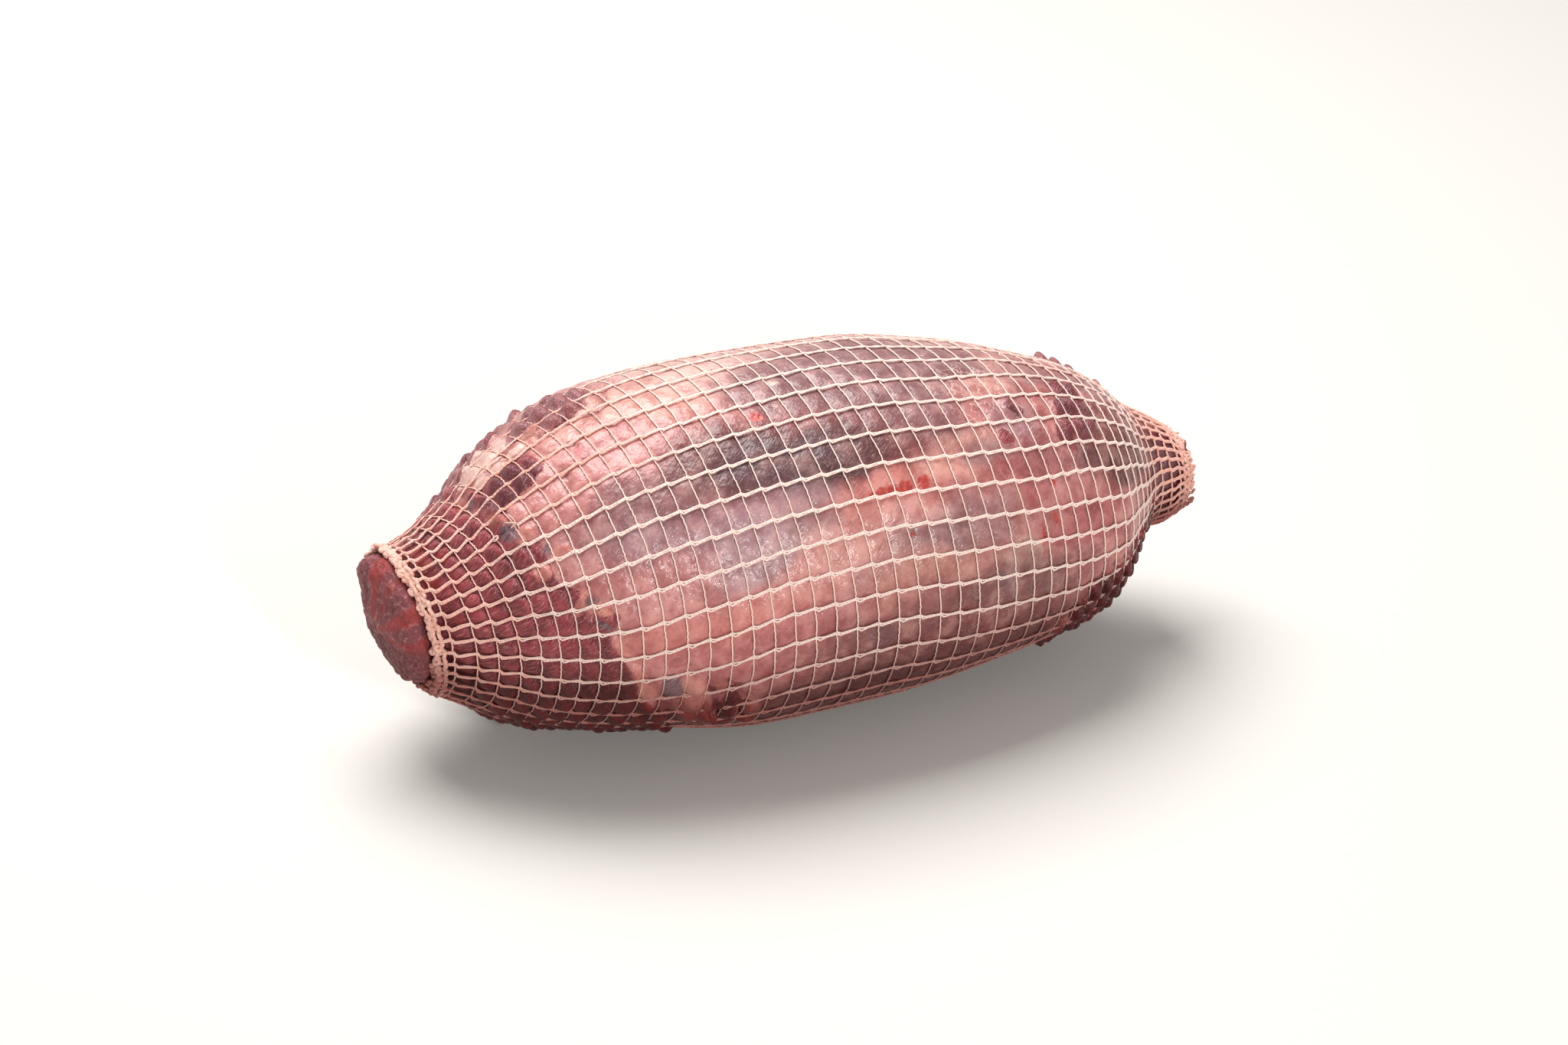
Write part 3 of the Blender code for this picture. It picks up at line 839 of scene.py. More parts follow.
        # Wrinkles of 3.5 mm, grain of 1.5 mm, the muscle's own fibres and the tendon.
        coarse = weigh(0.3, (lean_share, 0.5))
        fibrous = weigh(0.35, (lean_share, 0.9), (at["plug"], 1.6))
        height = weigh(
            0.0,
            (at["grain"], coarse),
            (at["wrinkle"], 1.2),
            (at["fibre"], fibrous),
            (at["tendon"], 0.2),
        )
        normal = add("Bump", {"Height": height, "Strength": 1.0, "Distance": self.bump_mm * MM})
        inputs = {
            "Base Color": self.colour(tree, at, lean_share),
            "Roughness": weigh(rough, (at["plug"], 0.3)),
            "IOR": self.juice_ior,
            "Subsurface Weight": 0.1,
            "Subsurface Radius": (1.0, 0.32, 0.22),
            "Subsurface Scale": self.light_depth_mm * MM,
            "Coat Weight": weigh(self.film, (dry, -self.film)),
            "Coat Roughness": 0.17,
            "Coat IOR": 1.36,
            "Normal": normal,
            "Coat Normal": normal,
        }
        feed(tree.nodes["Principled BSDF"], inputs)
        return material


@dataclass(frozen=True)
class YarnFinish:
    """Food-grade knitted yarn: matt undyed cotton over elastic.

    Meat juice has wicked into it, so it turns from cream to salmon pink
    toward the mouths, and its two twisted plies show as slanting ridges.
    """

    name: str = "cotton_net_yarn"
    clean: str = "#f5dbcf"
    soaked: str = "#eeae9b"
    shade: str = "#d3a092"
    # Multiplied over the yarn's underside as painted shade.
    underside: str = "#a0706a"
    ply_mm: float = 1.1
    ply_depth_mm: float = 0.15
    fuzz_mm: float = 0.25

    def build(self) -> bpy.types.Material:
        """Make the node material."""
        material = new_material(self.name)
        tree = material.node_tree
        add, weigh, lay = (partial(step, tree) for step in (add_node, weighted, lay_over))
        place = add("TexCoord", output="Object")
        stain, under = (add("Attribute", (), "Fac", attribute_name=name) for name in ("stain", "under"))
        patches = add("TexNoise", blotches(place, 4.0, 3.0))
        uneven = add("MapRange", (patches, 0.3, 0.7, -0.2, 0.2), **SMOOTH)
        colour = lay(self.clean, self.soaked, weigh(uneven, (stain, 1.0)), (0.0, 1.0))
        # The plies twist once in about a millimetre, drawn as slanting waves.
        yarn = add("UVMap", uv_map="yarn")
        run, turn = (add("SeparateXYZ", (yarn,), axis) for axis in "XY")
        phase = weigh(0.0, (run, 2.0 * math.pi / self.ply_mm), (turn, 2.0 * math.pi))
        wave = add("Math", (phase,), operation="SINE")
        twist = add("MapRange", (wave, -1.0, 1.0, 0.0, 1.0), **SMOOTH)
        fuzz = add("TexNoise", blotches(place, self.fuzz_mm, 3.0))
        # Painted shade in the grooves between the plies.
        colour = lay(colour, self.shade, twist, (0.5, 0.0), 0.35)
        height = weigh(twist, (fuzz, 0.6))
        inputs = {
            # Painted shade: the yarn is multiplied darker on the underside.
            "Base Color": lay(colour, self.underside, under, way="MULTIPLY"),
            "Roughness": 0.82,
            "Subsurface Weight": 0.25,
            "Subsurface Radius": (1.0, 0.6, 0.5),
            "Subsurface Scale": 0.6 * MM,
            "Sheen Weight": 0.25,
            "Normal": add("Bump", {"Height": height, "Strength": 0.6, "Distance": self.ply_depth_mm * MM}),
        }
        feed(tree.nodes["Principled BSDF"], inputs)
        return material


@dataclass(frozen=True)
class FloorFinish:
    """Matt white seamless paper of a packshot studio."""

    name: str = "studio_paper"
    colour: str = "#d6d2cc"
    fleck: str = "#c8c3bc"

    def build(self) -> bpy.types.Material:
        """Make the node material."""
        material = new_material(self.name)
        tree = material.node_tree
        place = add_node(tree, "TexCoord", output="Object")
        flecks = add_node(tree, "TexNoise", blotches(place, 2.0, 2.0))
        tone = lay_over(tree, self.colour, self.fleck, flecks, (0.3, 0.7), 0.04)
        feed(tree.nodes["Principled BSDF"], {"Base Color": tone, "Roughness": 0.9})
        return material


def roll_sheet(
    name: str,
    columns: int,
    rows: int,
    place: Callable[[Array, Array], Array],
    uv_name: str,
    uv_scale: tuple[float, float],
    marks: Callable[[Array, Array], dict[str, Array]] | None = None,
) -> bpy.types.Object:
    """Add a flat grid, roll it into its shape and close its seam and ends.

    Args:
        name: Name of the piece.
        columns: Quads around.
        rows: Quads along.
        place: Gives mm places from shares around and along.
        uv_name: Name of its UV map.
        uv_scale: Length along and number around that the map spans.
        marks: Gives attributes by name from the same shares.

    Returns:
        The new object, at the origin, its place in its mesh.
    """
    bpy.ops.object.select_all(action="DESELECT")
    bpy.ops.mesh.primitive_grid_add(x_subdivisions=columns, y_subdivisions=rows, size=2.0)
    item = bpy.context.object
    item.name = item.data.name = name
    mesh = item.data
    flat = np.zeros(len(mesh.vertices) * 3, np.float32)
    mesh.vertices.foreach_get("co", flat)
    flat = flat.reshape(-1, 3)
    around, along = (flat[:, 0] + 1.0) / 2.0, (flat[:, 1] + 1.0) / 2.0
    points = (place(around.astype(float), along.astype(float)) + SHIFT) * MM
    points[:, 2] = np.maximum(points[:, 2], 0.0)
    mesh.vertices.foreach_set("co", points.astype(np.float32).ravel())
    for key, values in (marks(around, along) if marks else {}).items():
        if values.ndim == 2:
            layer = mesh.attributes.new(key, "FLOAT_COLOR", "POINT")
            layer.data.foreach_set("color", values.astype(np.float32).ravel())
        else:
            layer = mesh.attributes.new(key, "FLOAT", "POINT")
            layer.data.foreach_set("value", values.astype(np.float32))
    lay = mesh.uv_layers[0]
    lay.name = uv_name
    uv = np.zeros(len(mesh.loops) * 2, np.float32)
    lay.data.foreach_get("uv", uv)
    uv = uv.reshape(-1, 2)[:, ::-1] * np.array(uv_scale, np.float32)
    lay.data.foreach_set("uv", np.ascontiguousarray(uv).ravel())
    bpy.ops.object.mode_set(mode="EDIT")
    bpy.ops.mesh.select_all(action="SELECT")
    bpy.ops.mesh.remove_doubles(threshold=1e-7)
    bpy.ops.mesh.normals_make_consistent(inside=False)
    bpy.ops.object.mode_set(mode="OBJECT")
    bpy.ops.object.shade_smooth()
    return item


def join_pieces(name: str, items: Sequence[bpy.types.Object]) -> bpy.types.Object:
    """Join separate yarns into one named piece."""
    bpy.ops.object.select_all(action="DESELECT")
    for item in items:
        item.select_set(True)
    bpy.context.view_layer.objects.active = items[0]
    bpy.ops.object.join()
    joined = bpy.context.object
    joined.name = joined.data.name = name
    return joined


def hand_over(item: bpy.types.Object, node: str) -> None:
    """Let a finished piece ride on the body and stand for a CAD node."""
    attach(item, BODY)
    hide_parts(node)
    LOG.info("%s: %d faces", item.name, len(item.data.polygons))


@dataclass
class RolledMeat:
    """The rolled meat with its pillowed skin and both craggy cut ends."""

    form: RoastForm
    finish: RawMeatFinish
    per_ring: int = 6
    per_chain: int = 9
    left_rows: int = 20
    right_rows: int = 8
    left_axis: tuple[float, float, float] = (-0.93, -0.16, -0.33)
    right_axis: tuple[float, float, float] = (0.985, 0.02, -0.17)
    left_length: float = 9.5
    right_length: float = 1.8
    left_tuck: float = 0.20
    plug_start: float = 1.8
    fascia_swell: float = 0.55
    lean_swell: float = 2.4
    groove_depth: float = -0.15
    tear_depth: float = 5.0
    lean_limit: tuple[tuple[float, float], ...] = (
        (40.0, -66.0),
        (62.0, -90.0),
        (80.0, -112.0),
        (96.0, -113.0),
        (104.0, -107.0),
        (112.0, -103.0),
        (126.0, -102.5),
        (134.0, -96.0),
        (150.0, -94.5),
        (156.0, -88.0),
        (166.0, -87.0),
        (172.0, -81.0),
        (180.0, -79.5),
        (189.0, -75.0),
        (204.0, -70.5),
        (213.0, -63.5),
        (223.0, -60.0),
        (250.0, -50.0),
        (290.0, -62.0),
        (330.0, -76.0),
        (400.0, -66.0),
    )
    far_lean_limit: tuple[tuple[float, float], ...] = (
        (40.0, 122.0),
        (100.0, 134.0),
        (150.0, 136.0),
        (180.0, 130.0),
        (185.0, 112.0),
        (189.0, 101.0),
        (194.0, 88.0),
        (204.0, 83.5),
        (215.0, 80.0),
        (240.0, 76.0),
        (280.0, 92.0),
        (320.0, 116.0),
        (400.0, 122.0),
    )
    lumps: tuple[tuple[float, ...], ...] = (
        (-76.0, 66.0, 15.0, 13.0, 2.6),
        (-97.0, 72.0, 9.0, 12.0, 1.5),
        (-100.0, 104.0, 10.0, 13.0, 1.3),
        (-58.0, 202.0, 12.0, 10.0, 3.0),
        (-46.0, 214.0, 9.0, 9.0, 2.8),
        (78.0, 212.0, 8.0, 7.0, 1.6),
        (94.0, 196.0, 14.0, 13.0, 1.9),
        (103.5, 64.0, 9.0, 9.0, 1.5),
        (118.0, 66.0, 4.5, 9.0, 1.3),
        (92.0, 118.0, 13.0, 12.0, 1.0),
    )
    body_rows: int = field(init=False)
    placed: Array = field(init=False)

    def __post_init__(self) -> None:
        """Count the rows of the netted length."""
        self.body_rows = self.form.last_ring() * self.per_ring
        self.placed = np.zeros((0, 3))

    def rows(self) -> int:
        """Count all rows from tip to tip."""
        return self.left_rows + self.body_rows + self.right_rows

    def ring_of(self, along: Array) -> tuple[Array, Array, Array]:
        """Tell each row's ring number and how far it lies out in a plug.

        Args:
            along: Share of the way from the left tip to the right tip.

        Returns:
            Ring numbers, steps into the left plug and into the right plug.
        """
        row = along * self.rows()
        left = np.clip((self.left_rows - row) / self.left_rows, 0.0, 1.0)
        right = np.clip((row - self.left_rows - self.body_rows) / self.right_rows, 0.0, 1.0)
        ring = np.clip((row - self.left_rows) / self.per_ring, 0.0, self.form.last_ring())
        return ring, left, right

    def skin_place(self, ring: Array, chain: Array) -> tuple[Array, Array]:
        """Give X and angle of places on the unrolled skin."""
        angle = self.form.chain_angle(chain, self.form.ring_x(ring))
        x = self.form.point(self.form.ring_x(ring), angle, np.zeros_like(angle))[:, 0]
        return x, angle % 360.0

    def lean_distance(self, x: Array, angle: Array) -> Array:
        """Give the distance in mm into lean, negative outside it."""
        folded = np.where(angle >= 40.0, angle, angle + 360.0)
        near = self.form.read(self.lean_limit, folded)
        far = self.form.read(self.far_lean_limit, folded)
        # The hidden side's borders are torn in uneven waves.
        hidden = fade(folded, 235.0, 262.0) * fade(folded, 398.0, 380.0)
        waves = np.sin(np.radians(9.0 * folded)) + 0.6 * np.sin(np.radians(23.0 * folded))
        tear = self.tear_depth * hidden * waves
        return np.maximum(near + tear - x, x - far - tear)

    def mark_distance(self, mark: Mark, x: Array, angle: Array, wobble: Array) -> Array:
        """Give the distance in mm into a ragged mark, negative outside it."""
        best = np.full(len(x), -30.0)
        if mark is Mark.LEAN:
            best = self.lean_distance(x, angle)
        for spot in SPOTS:
            if spot.mark is mark:
                reach = ellipse_reach(x, angle, spot)
                best = np.maximum(best, (1.0 - reach) * min(spot.length, spot.spread))
        return np.clip(best + wobble, -8.0, 8.0)

    def creases(self, x: Array, angle: Array) -> tuple[Array, Array]:
        """Give the depth of the fold lines and how much painted shade darkens each, 0 to 1."""
        depth = np.zeros(len(x))
        dark = np.zeros(len(x))
        for crease in CREASES:
            near = np.full(len(x), 1e9)
            for (x0, a0), (x1, a1) in zip(crease.line, crease.line[1:]):
                run = np.array((x1 - x0, a1 - a0))
                away = np.stack([x - x0, turn_between(angle, a0)], axis=-1)
                t = np.clip(away @ run / (run @ run), 0.0, 1.0)
                near = np.minimum(near, np.linalg.norm(away - t[:, None] * run, axis=1))
            shape = np.exp(-((near / crease.width) ** 2))
            depth = np.maximum(depth, crease.depth * shape)
            if crease.width < 3.0:
                dark = np.maximum(dark, shape)
        return depth, dark

    def relief(self, ring: Array, chain: Array, x: Array, angle: Array) -> Array:
        """Give the skin's depth in mm: pillows, lumps, folds and grain."""
        spot = self.form.on_body(ring, chain, 0.0)
        lean = fade(self.mark_distance(Mark.LEAN, x, angle, cloud(spot, 6.0, 3) * 1.6), -1.0, 2.5)
        u, v = ring % 1.0, chain % 1.0
        power = 3.2 - 1.0 * lean
        pillow = (1.0 - np.abs(2 * u - 1) ** power) * (1.0 - np.abs(2 * v - 1) ** power)
        cell = (np.floor(ring) * 0.731 + np.floor(chain) * 2.417) % 1.0
        swell = self.fascia_swell + (self.lean_swell - self.fascia_swell) * lean
        swell *= 0.75 + 0.5 * cell
        cuff = fade(x, -132.0, -112.0) * (0.35 + 0.65 * fade(x, 136.0, 116.0))
        depth = self.groove_depth + pillow * swell * cuff
        for lump_x, lump_angle, length, spread, height in self.lumps:
            away = turn_between(angle, lump_angle) / spread
            bell = np.exp(-0.7 * (((x - lump_x) / length) ** 2 + away**2))
            depth += (0.04 + 0.58 * pillow) * height * bell
        depth += 0.35 * cloud(spot, 9.0, 5) + 0.14 * cloud(spot, 3.0, 6)
        depth += lean * 0.22 * cloud(spot, 2.0, 7)
        fat = fade(self.mark_distance(Mark.FAT, x, angle, cloud(spot, 3.0, 8)), -0.8, 1.2)
        depth += fat * (0.05 + 0.95 * pillow) * (0.8 + 0.6 * cloud(spot, 3.5, 9))
        folds, _ = self.creases(x, angle)
        depth += 0.55 * self.form.flare(ring, chain)
        return depth - folds - 0.4 * (1.0 - fade(x, -130.0, -118.0)) - 0.6 * fade(x, 120.0, 134.0)

    def crag(self, points: Array) -> Array:
        """Give the torn roughness of the cut ends in mm."""
        rough = 1.1 * cloud(points, 7.0, 11) + 0.75 * cloud(points, 2.6, 12)
        return rough + 0.5 * np.abs(cloud(points, 1.6, 13))

    def plug(
        self, mouth: Array, step: Array, axis: Sequence[float], length: float, tuck: float
    ) -> Array:
        """Bulge a mouth ring out into a craggy dome.

        Args:
            mouth: The mouth ring's own points, one for each place.
            step: How far out each place lies, from 0 to 1 at the tip.
            axis: Direction in which the dome bulges.
            length: How far the tip stands out.
            tuck: How far its lower side is drawn up, as a share.

        Returns:
            The places on the dome.
        """
        heading = unit(np.array(axis))
        middle = mouth[np.abs(step - step.min()) < 1e-6].mean(axis=0)
        turn = 0.5 * math.pi * step
        spread = np.cos(turn)[:, None]
        puff = (1.0 + 0.12 * np.sin(2.0 * turn))[:, None]
        out = (mouth - middle) * spread * puff
        drawn_up = np.where(out[:, 2] < 0.0, 1.0 - tuck * np.minimum(1.0, step * 5.0), 1.0)
        out[:, 2] *= drawn_up
        reach = self.plug_start * np.minimum(1.0, step * 6.0)
        reach += (length - self.plug_start) * np.sin(turn)
        place = middle + out + heading * reach[:, None]
        rough = self.crag(place) * np.minimum(1.0, step * 5.0)
        facing = unit(unit(out) * (spread > 1e-6) + heading)
        return place + facing * rough[:, None]

    def place(self, around: Array, along: Array) -> Array:
        """Place the whole skin from the shares around and along."""
        ring, left, right = self.ring_of(along)
        chain = around * self.form.chains
        x, angle = self.skin_place(ring, chain)
        points = self.form.on_body(ring, chain, self.relief(ring, chain, x, angle))
        for side, axis, length, tuck in (
            (left, self.left_axis, self.left_length, self.left_tuck),
            (right, self.right_axis, self.right_length, 0.0),
        ):
            out = side > 0.0
            points[out] = self.plug(points[out], side[out], axis, length, tuck)
        self.placed = points
        return points

    def glaze_colour(self, spot: Array, x: Array, angle: Array) -> Array:
        """Lay the soft-edged tissues over one another, their borders bent at random."""
        warp = 2.6 * cloud(spot, 11.0, 21) + 1.3 * cloud(spot, 4.0, 22)
        bend = 2.6 * cloud(spot, 10.0, 23) + 1.3 * cloud(spot, 4.0, 24)
        colour = np.tile(np.array(linear(Tissue.ROSE.value)), (len(x), 1))
        for glaze in GLAZES:
            reach = ellipse_reach(x + warp, angle + bend, glaze)
            share = glaze.strength * fade(reach, 1.0 + glaze.softness, 1.0 - glaze.softness)
            colour += share[:, None] * (np.array(linear(glaze.tissue.value)) - colour)
        return colour

    def paint(self, around: Array, along: Array) -> dict[str, Array]:
        """Give the attributes that the finish reads."""
        ring, left, right = self.ring_of(along.astype(float))
        chain = around.astype(float) * self.form.chains
        x, angle = self.skin_place(ring, chain)
        spot = self.form.on_body(ring, chain, 0.0)
        wobble = cloud(spot, 5.0, 25)
        made = {
            mark.value: self.mark_distance(mark, x, angle, wobble * (1.6 if mark is Mark.LEAN else 0.5))
            for mark in Mark
        }
        made["lean"] = np.where((left > 0) | (right > 0), 8.0, made["lean"])
        for mark in (Mark.FAT, Mark.TAG, Mark.BLOOD, Mark.VEIN):
            made[mark.value] = np.where((left > 0) | (right > 0), -8.0, made[mark.value])
        tip = self.placed
        core = 0.12 * fade(left, 0.15, 0.6) * fade(cloud(tip, 8.0, 26) + cloud(tip, 3.0, 27), -0.3, 0.5)
        near_mouth = fade(x, -112.0, -126.0) * fade(cloud(spot, 5.0, 28), 0.1, 0.6)
        made["red"] = np.clip(core + 0.8 * near_mouth + 0.5 * fade(right, 0.0, 0.5), 0.0, 1.0)
        # Painted shade along the narrow creases.
        made["fold"] = self.creases(x, angle)[1]
        made["plug"] = np.maximum(fade(left, 0.0, 0.12), fade(right, 0.0, 0.12))
        made["pale"] = 0.75 * fade(angle, 96.0, 84.0) * fade(x, -98.0, -88.0) * fade(angle, 20.0, 50.0)
        made["pale"] = np.maximum(made["pale"], 0.45 * fade(x, 40.0, 55.0) * fade(angle, 100.0, 84.0))
        # Painted shade: toward the underside the colour is multiplied darker, more on the lean; part is
        # juice-soaked lean, part is painted shade.
        lean = fade(made["lean"], -1.0, 2.0)
        under = fade(angle, 186.0 - 18.0 * lean, 218.0) * fade(angle, 352.0, 318.0)
        made["under"] = np.clip(under * (0.95 + 0.55 * lean), 0.0, 1.0) * (1.0 - 0.6 * made["plug"])
        # Painted shade: lean cells go darker next to the yarns, where they sink into the net's grooves, and
        # two painted shadow patches darken the lean.
        rim = np.maximum(np.abs(2.0 * (ring % 1.0) - 1.0), np.abs(2.0 * (chain % 1.0) - 1.0)) ** 4
        near_lean_shadow = Glaze(Tissue.WINE, -98.0, 103.0, 9.0, 9.0, -10)
        far_lean_shadow = Glaze(Tissue.WINE, 86.0, 118.0, 30.0, 15.0)
        patch = 0.75 * fade(ellipse_reach(x, angle, near_lean_shadow), 1.3, 0.7)
        patch = np.maximum(patch, 0.6 * fade(ellipse_reach(x, angle, far_lean_shadow), 1.3, 0.7))
        made["deep"] = np.maximum(patch, 0.6 * rim * lean * (1.0 - made["plug"]))
        frayed = Glaze(Tissue.PEACH, 58.0, 112.0, 14.0, 17.0, -25)
        made["stringy"] = 0.8 * fade(ellipse_reach(x, angle, frayed), 1.3, 0.7)
        made["glaze"] = self.glaze_colour(spot, x, angle)
        return made

    def build(self) -> bpy.types.Object:
        """Roll the skin and dress it."""
        form = self.form
        item = roll_sheet(
            "rolled_meat",
            form.chains * self.per_chain,
            self.rows(),
            self.place,
            "skin_mm",
            (0.29, 0.36),
            self.paint,
        )
        item.data.materials.append(self.finish.build())
        hand_over(item, "meat")
        return item


@dataclass(frozen=True)
class YarnStain:
    """Where meat juice has coloured the net, and where its underside gets painted shade."""

    form: RoastForm

    def share(self, ring: Array, chain: Array) -> Array:
        """Give the stain from 0, clean, to 1, soaked."""
        ring_x = self.form.ring_x(np.clip(ring, 0, self.form.last_ring()))
        angle = self.form.chain_angle(chain % self.form.chains, ring_x) % 360.0
        left = 0.75 * fade(ring_x, -85.0, -131.0)
        right = 0.9 * fade(ring_x, 108.0, 130.0)
        top_left = fade(ring_x, -38.0, -80.0) * fade(angle, 140.0, 108.0)
        top_right = 0.4 * fade(ring_x, 40.0, 100.0) * fade(angle, 130.0, 90.0)
        # The lower side is stained toward soaked pink, partly juice and partly painted shade.
        low = 0.3 * fade(angle, 190.0, 215.0)
        return np.clip(np.maximum.reduce([left, right, 0.7 * top_left, top_right, low]), 0.0, 1.0)

    def under(self, ring: Array, chain: Array) -> Array:
        """Give how far a place lies round on the underside, from 0 to 1, where the yarn gets painted shade.
        """
        ring_x = self.form.ring_x(np.clip(ring, 0, self.form.last_ring()))
        angle = self.form.chain_angle(chain % self.form.chains, ring_x) % 360.0
        return fade(angle, 178.0, 216.0) * fade(angle, 352.0, 318.0)

    def marks(self, ring: Array, chain: Array) -> dict[str, Array]:
        """Give both attributes that the yarn's finish reads."""
        return {"stain": self.share(ring, chain), "under": self.under(ring, chain)}


@dataclass
class NetYarn:
    """Sweeps one yarn of the net along a course of ring and chain numbers."""

    form: RoastForm
    stain: YarnStain
    sides: int = 6
    thread_sides: int = 5

    def sweep(
        self,
        name: str,
        count: int,
        course: Course,
        radius: float,
        length_mm: float,
        closed: bool,
        flat: float = 1.0,
    ) -> bpy.types.Object:
        """Roll a thin tube around a course on the body.

        Args:
            name: Name of the yarn.
            count: Number of steps along it.
            course: Gives ring, chain, depth and the shifts along and around in mm.
            radius: Yarn's half thickness.
            length_mm: Length used for its twist.
            closed: Whether its end meets its start.
            flat: Thickness over width.

        Returns:
            The yarn as an object.
        """

        def centre(along: Array) -> tuple[Array, ...]:
            """Give the centreline and its outward direction."""
            ring, chain, depth, shift_along, shift_around = course(along)
            here, ahead, aside, outward = self.form.axes(ring, chain, depth)
            here = here + ahead * shift_along[:, None] + aside * shift_around[:, None]
            return here, outward

        def place(around: Array, along: Array) -> Array:
            """Place the tube's own points."""
            steps = np.linspace(0.0, 1.0, count + 1)
            line, outward = centre(steps)
            if closed:
                line[-1] = line[0]
                outward[-1] = outward[0]
                before, after = np.roll(line[:-1], 1, 0), np.roll(line[:-1], -1, 0)
                heading = unit(after - before)
                heading = np.vstack([heading, heading[:1]])
            else:
                heading = unit(np.gradient(line, axis=0))
            side = unit(np.cross(heading, outward))
            up = unit(np.cross(side, heading))
            index = np.rint(along * count).astype(int)
            turn = 2.0 * math.pi * around
            ring, end = course(steps)[0], self.form.last_ring()
            thick = 1.0 + 0.25 * fade(ring, end - 5.0, end - 1.5) + 0.2 * fade(ring, 3.5, 0.0)
            size = radius * thick
            if not closed:
                size[0] = size[-1] = 0.0
            middle = line[index]
            middle[:, 2] = np.maximum(middle[:, 2], radius)
            swing = side[index] * np.cos(turn)[:, None] + up[index] * (flat * np.sin(turn))[:, None]
            return middle + swing * size[index][:, None]

        def marks(around: Array, along: Array) -> dict[str, Array]:
            """Give the stain along the yarn."""
            ring, chain, *_ = course(along.astype(float))
            return self.stain.marks(ring, chain)

        return roll_sheet(name, self.sides, count, place, "yarn", (length_mm, 1.0), marks)

    def thread(
        self, name: str, line: Array, radius: float, at: tuple[float, float], closed: bool
    ) -> bpy.types.Object:
        """Roll a thin tube around a short line of free points.

        Args:
            name: Name of the thread.
            line: Points in mm; a closed thread's last point is its first.
            radius: Half thickness.
            at: Ring and chain number whose stain the thread takes.
            closed: Whether its end meets its start.

        Returns:
            The thread as an object.
        """
        heading = np.gradient(line, axis=0)
        if closed:
            heading[0] = heading[-1] = line[1] - line[-2]
        heading = unit(heading)
        flat_way = np.linalg.svd(line - line.mean(axis=0))[2][-1]
        side = unit(np.cross(heading, flat_way))
        up = np.cross(side, heading)
        size = np.full(len(line), radius)
        if not closed:
            size[0] = size[-1] = 0.0
        raised = line.copy()
        raised[:, 2] = np.maximum(raised[:, 2], radius)
        ring, chain = (np.array([number]) for number in at)
        found = self.stain.marks(ring, chain)

        def place(around: Array, along: Array) -> Array:
            """Place the thread's own points."""
            i = np.rint(along * (len(line) - 1)).astype(int)
            turn = 2.0 * math.pi * around
            swing = side[i] * np.cos(turn)[:, None] + up[i] * np.sin(turn)[:, None]
            return raised[i] + swing * size[i][:, None]

        def marks(around: Array, along: Array) -> dict[str, Array]:
            """Give the whole thread one stain."""
            return {key: np.full(len(around), float(value[0])) for key, value in found.items()}

        length = float(np.linalg.norm(np.diff(line, axis=0), axis=1).sum())
        count = len(line) - 1
        return roll_sheet(name, self.thread_sides, count, place, "yarn", (length, 1.0), marks)


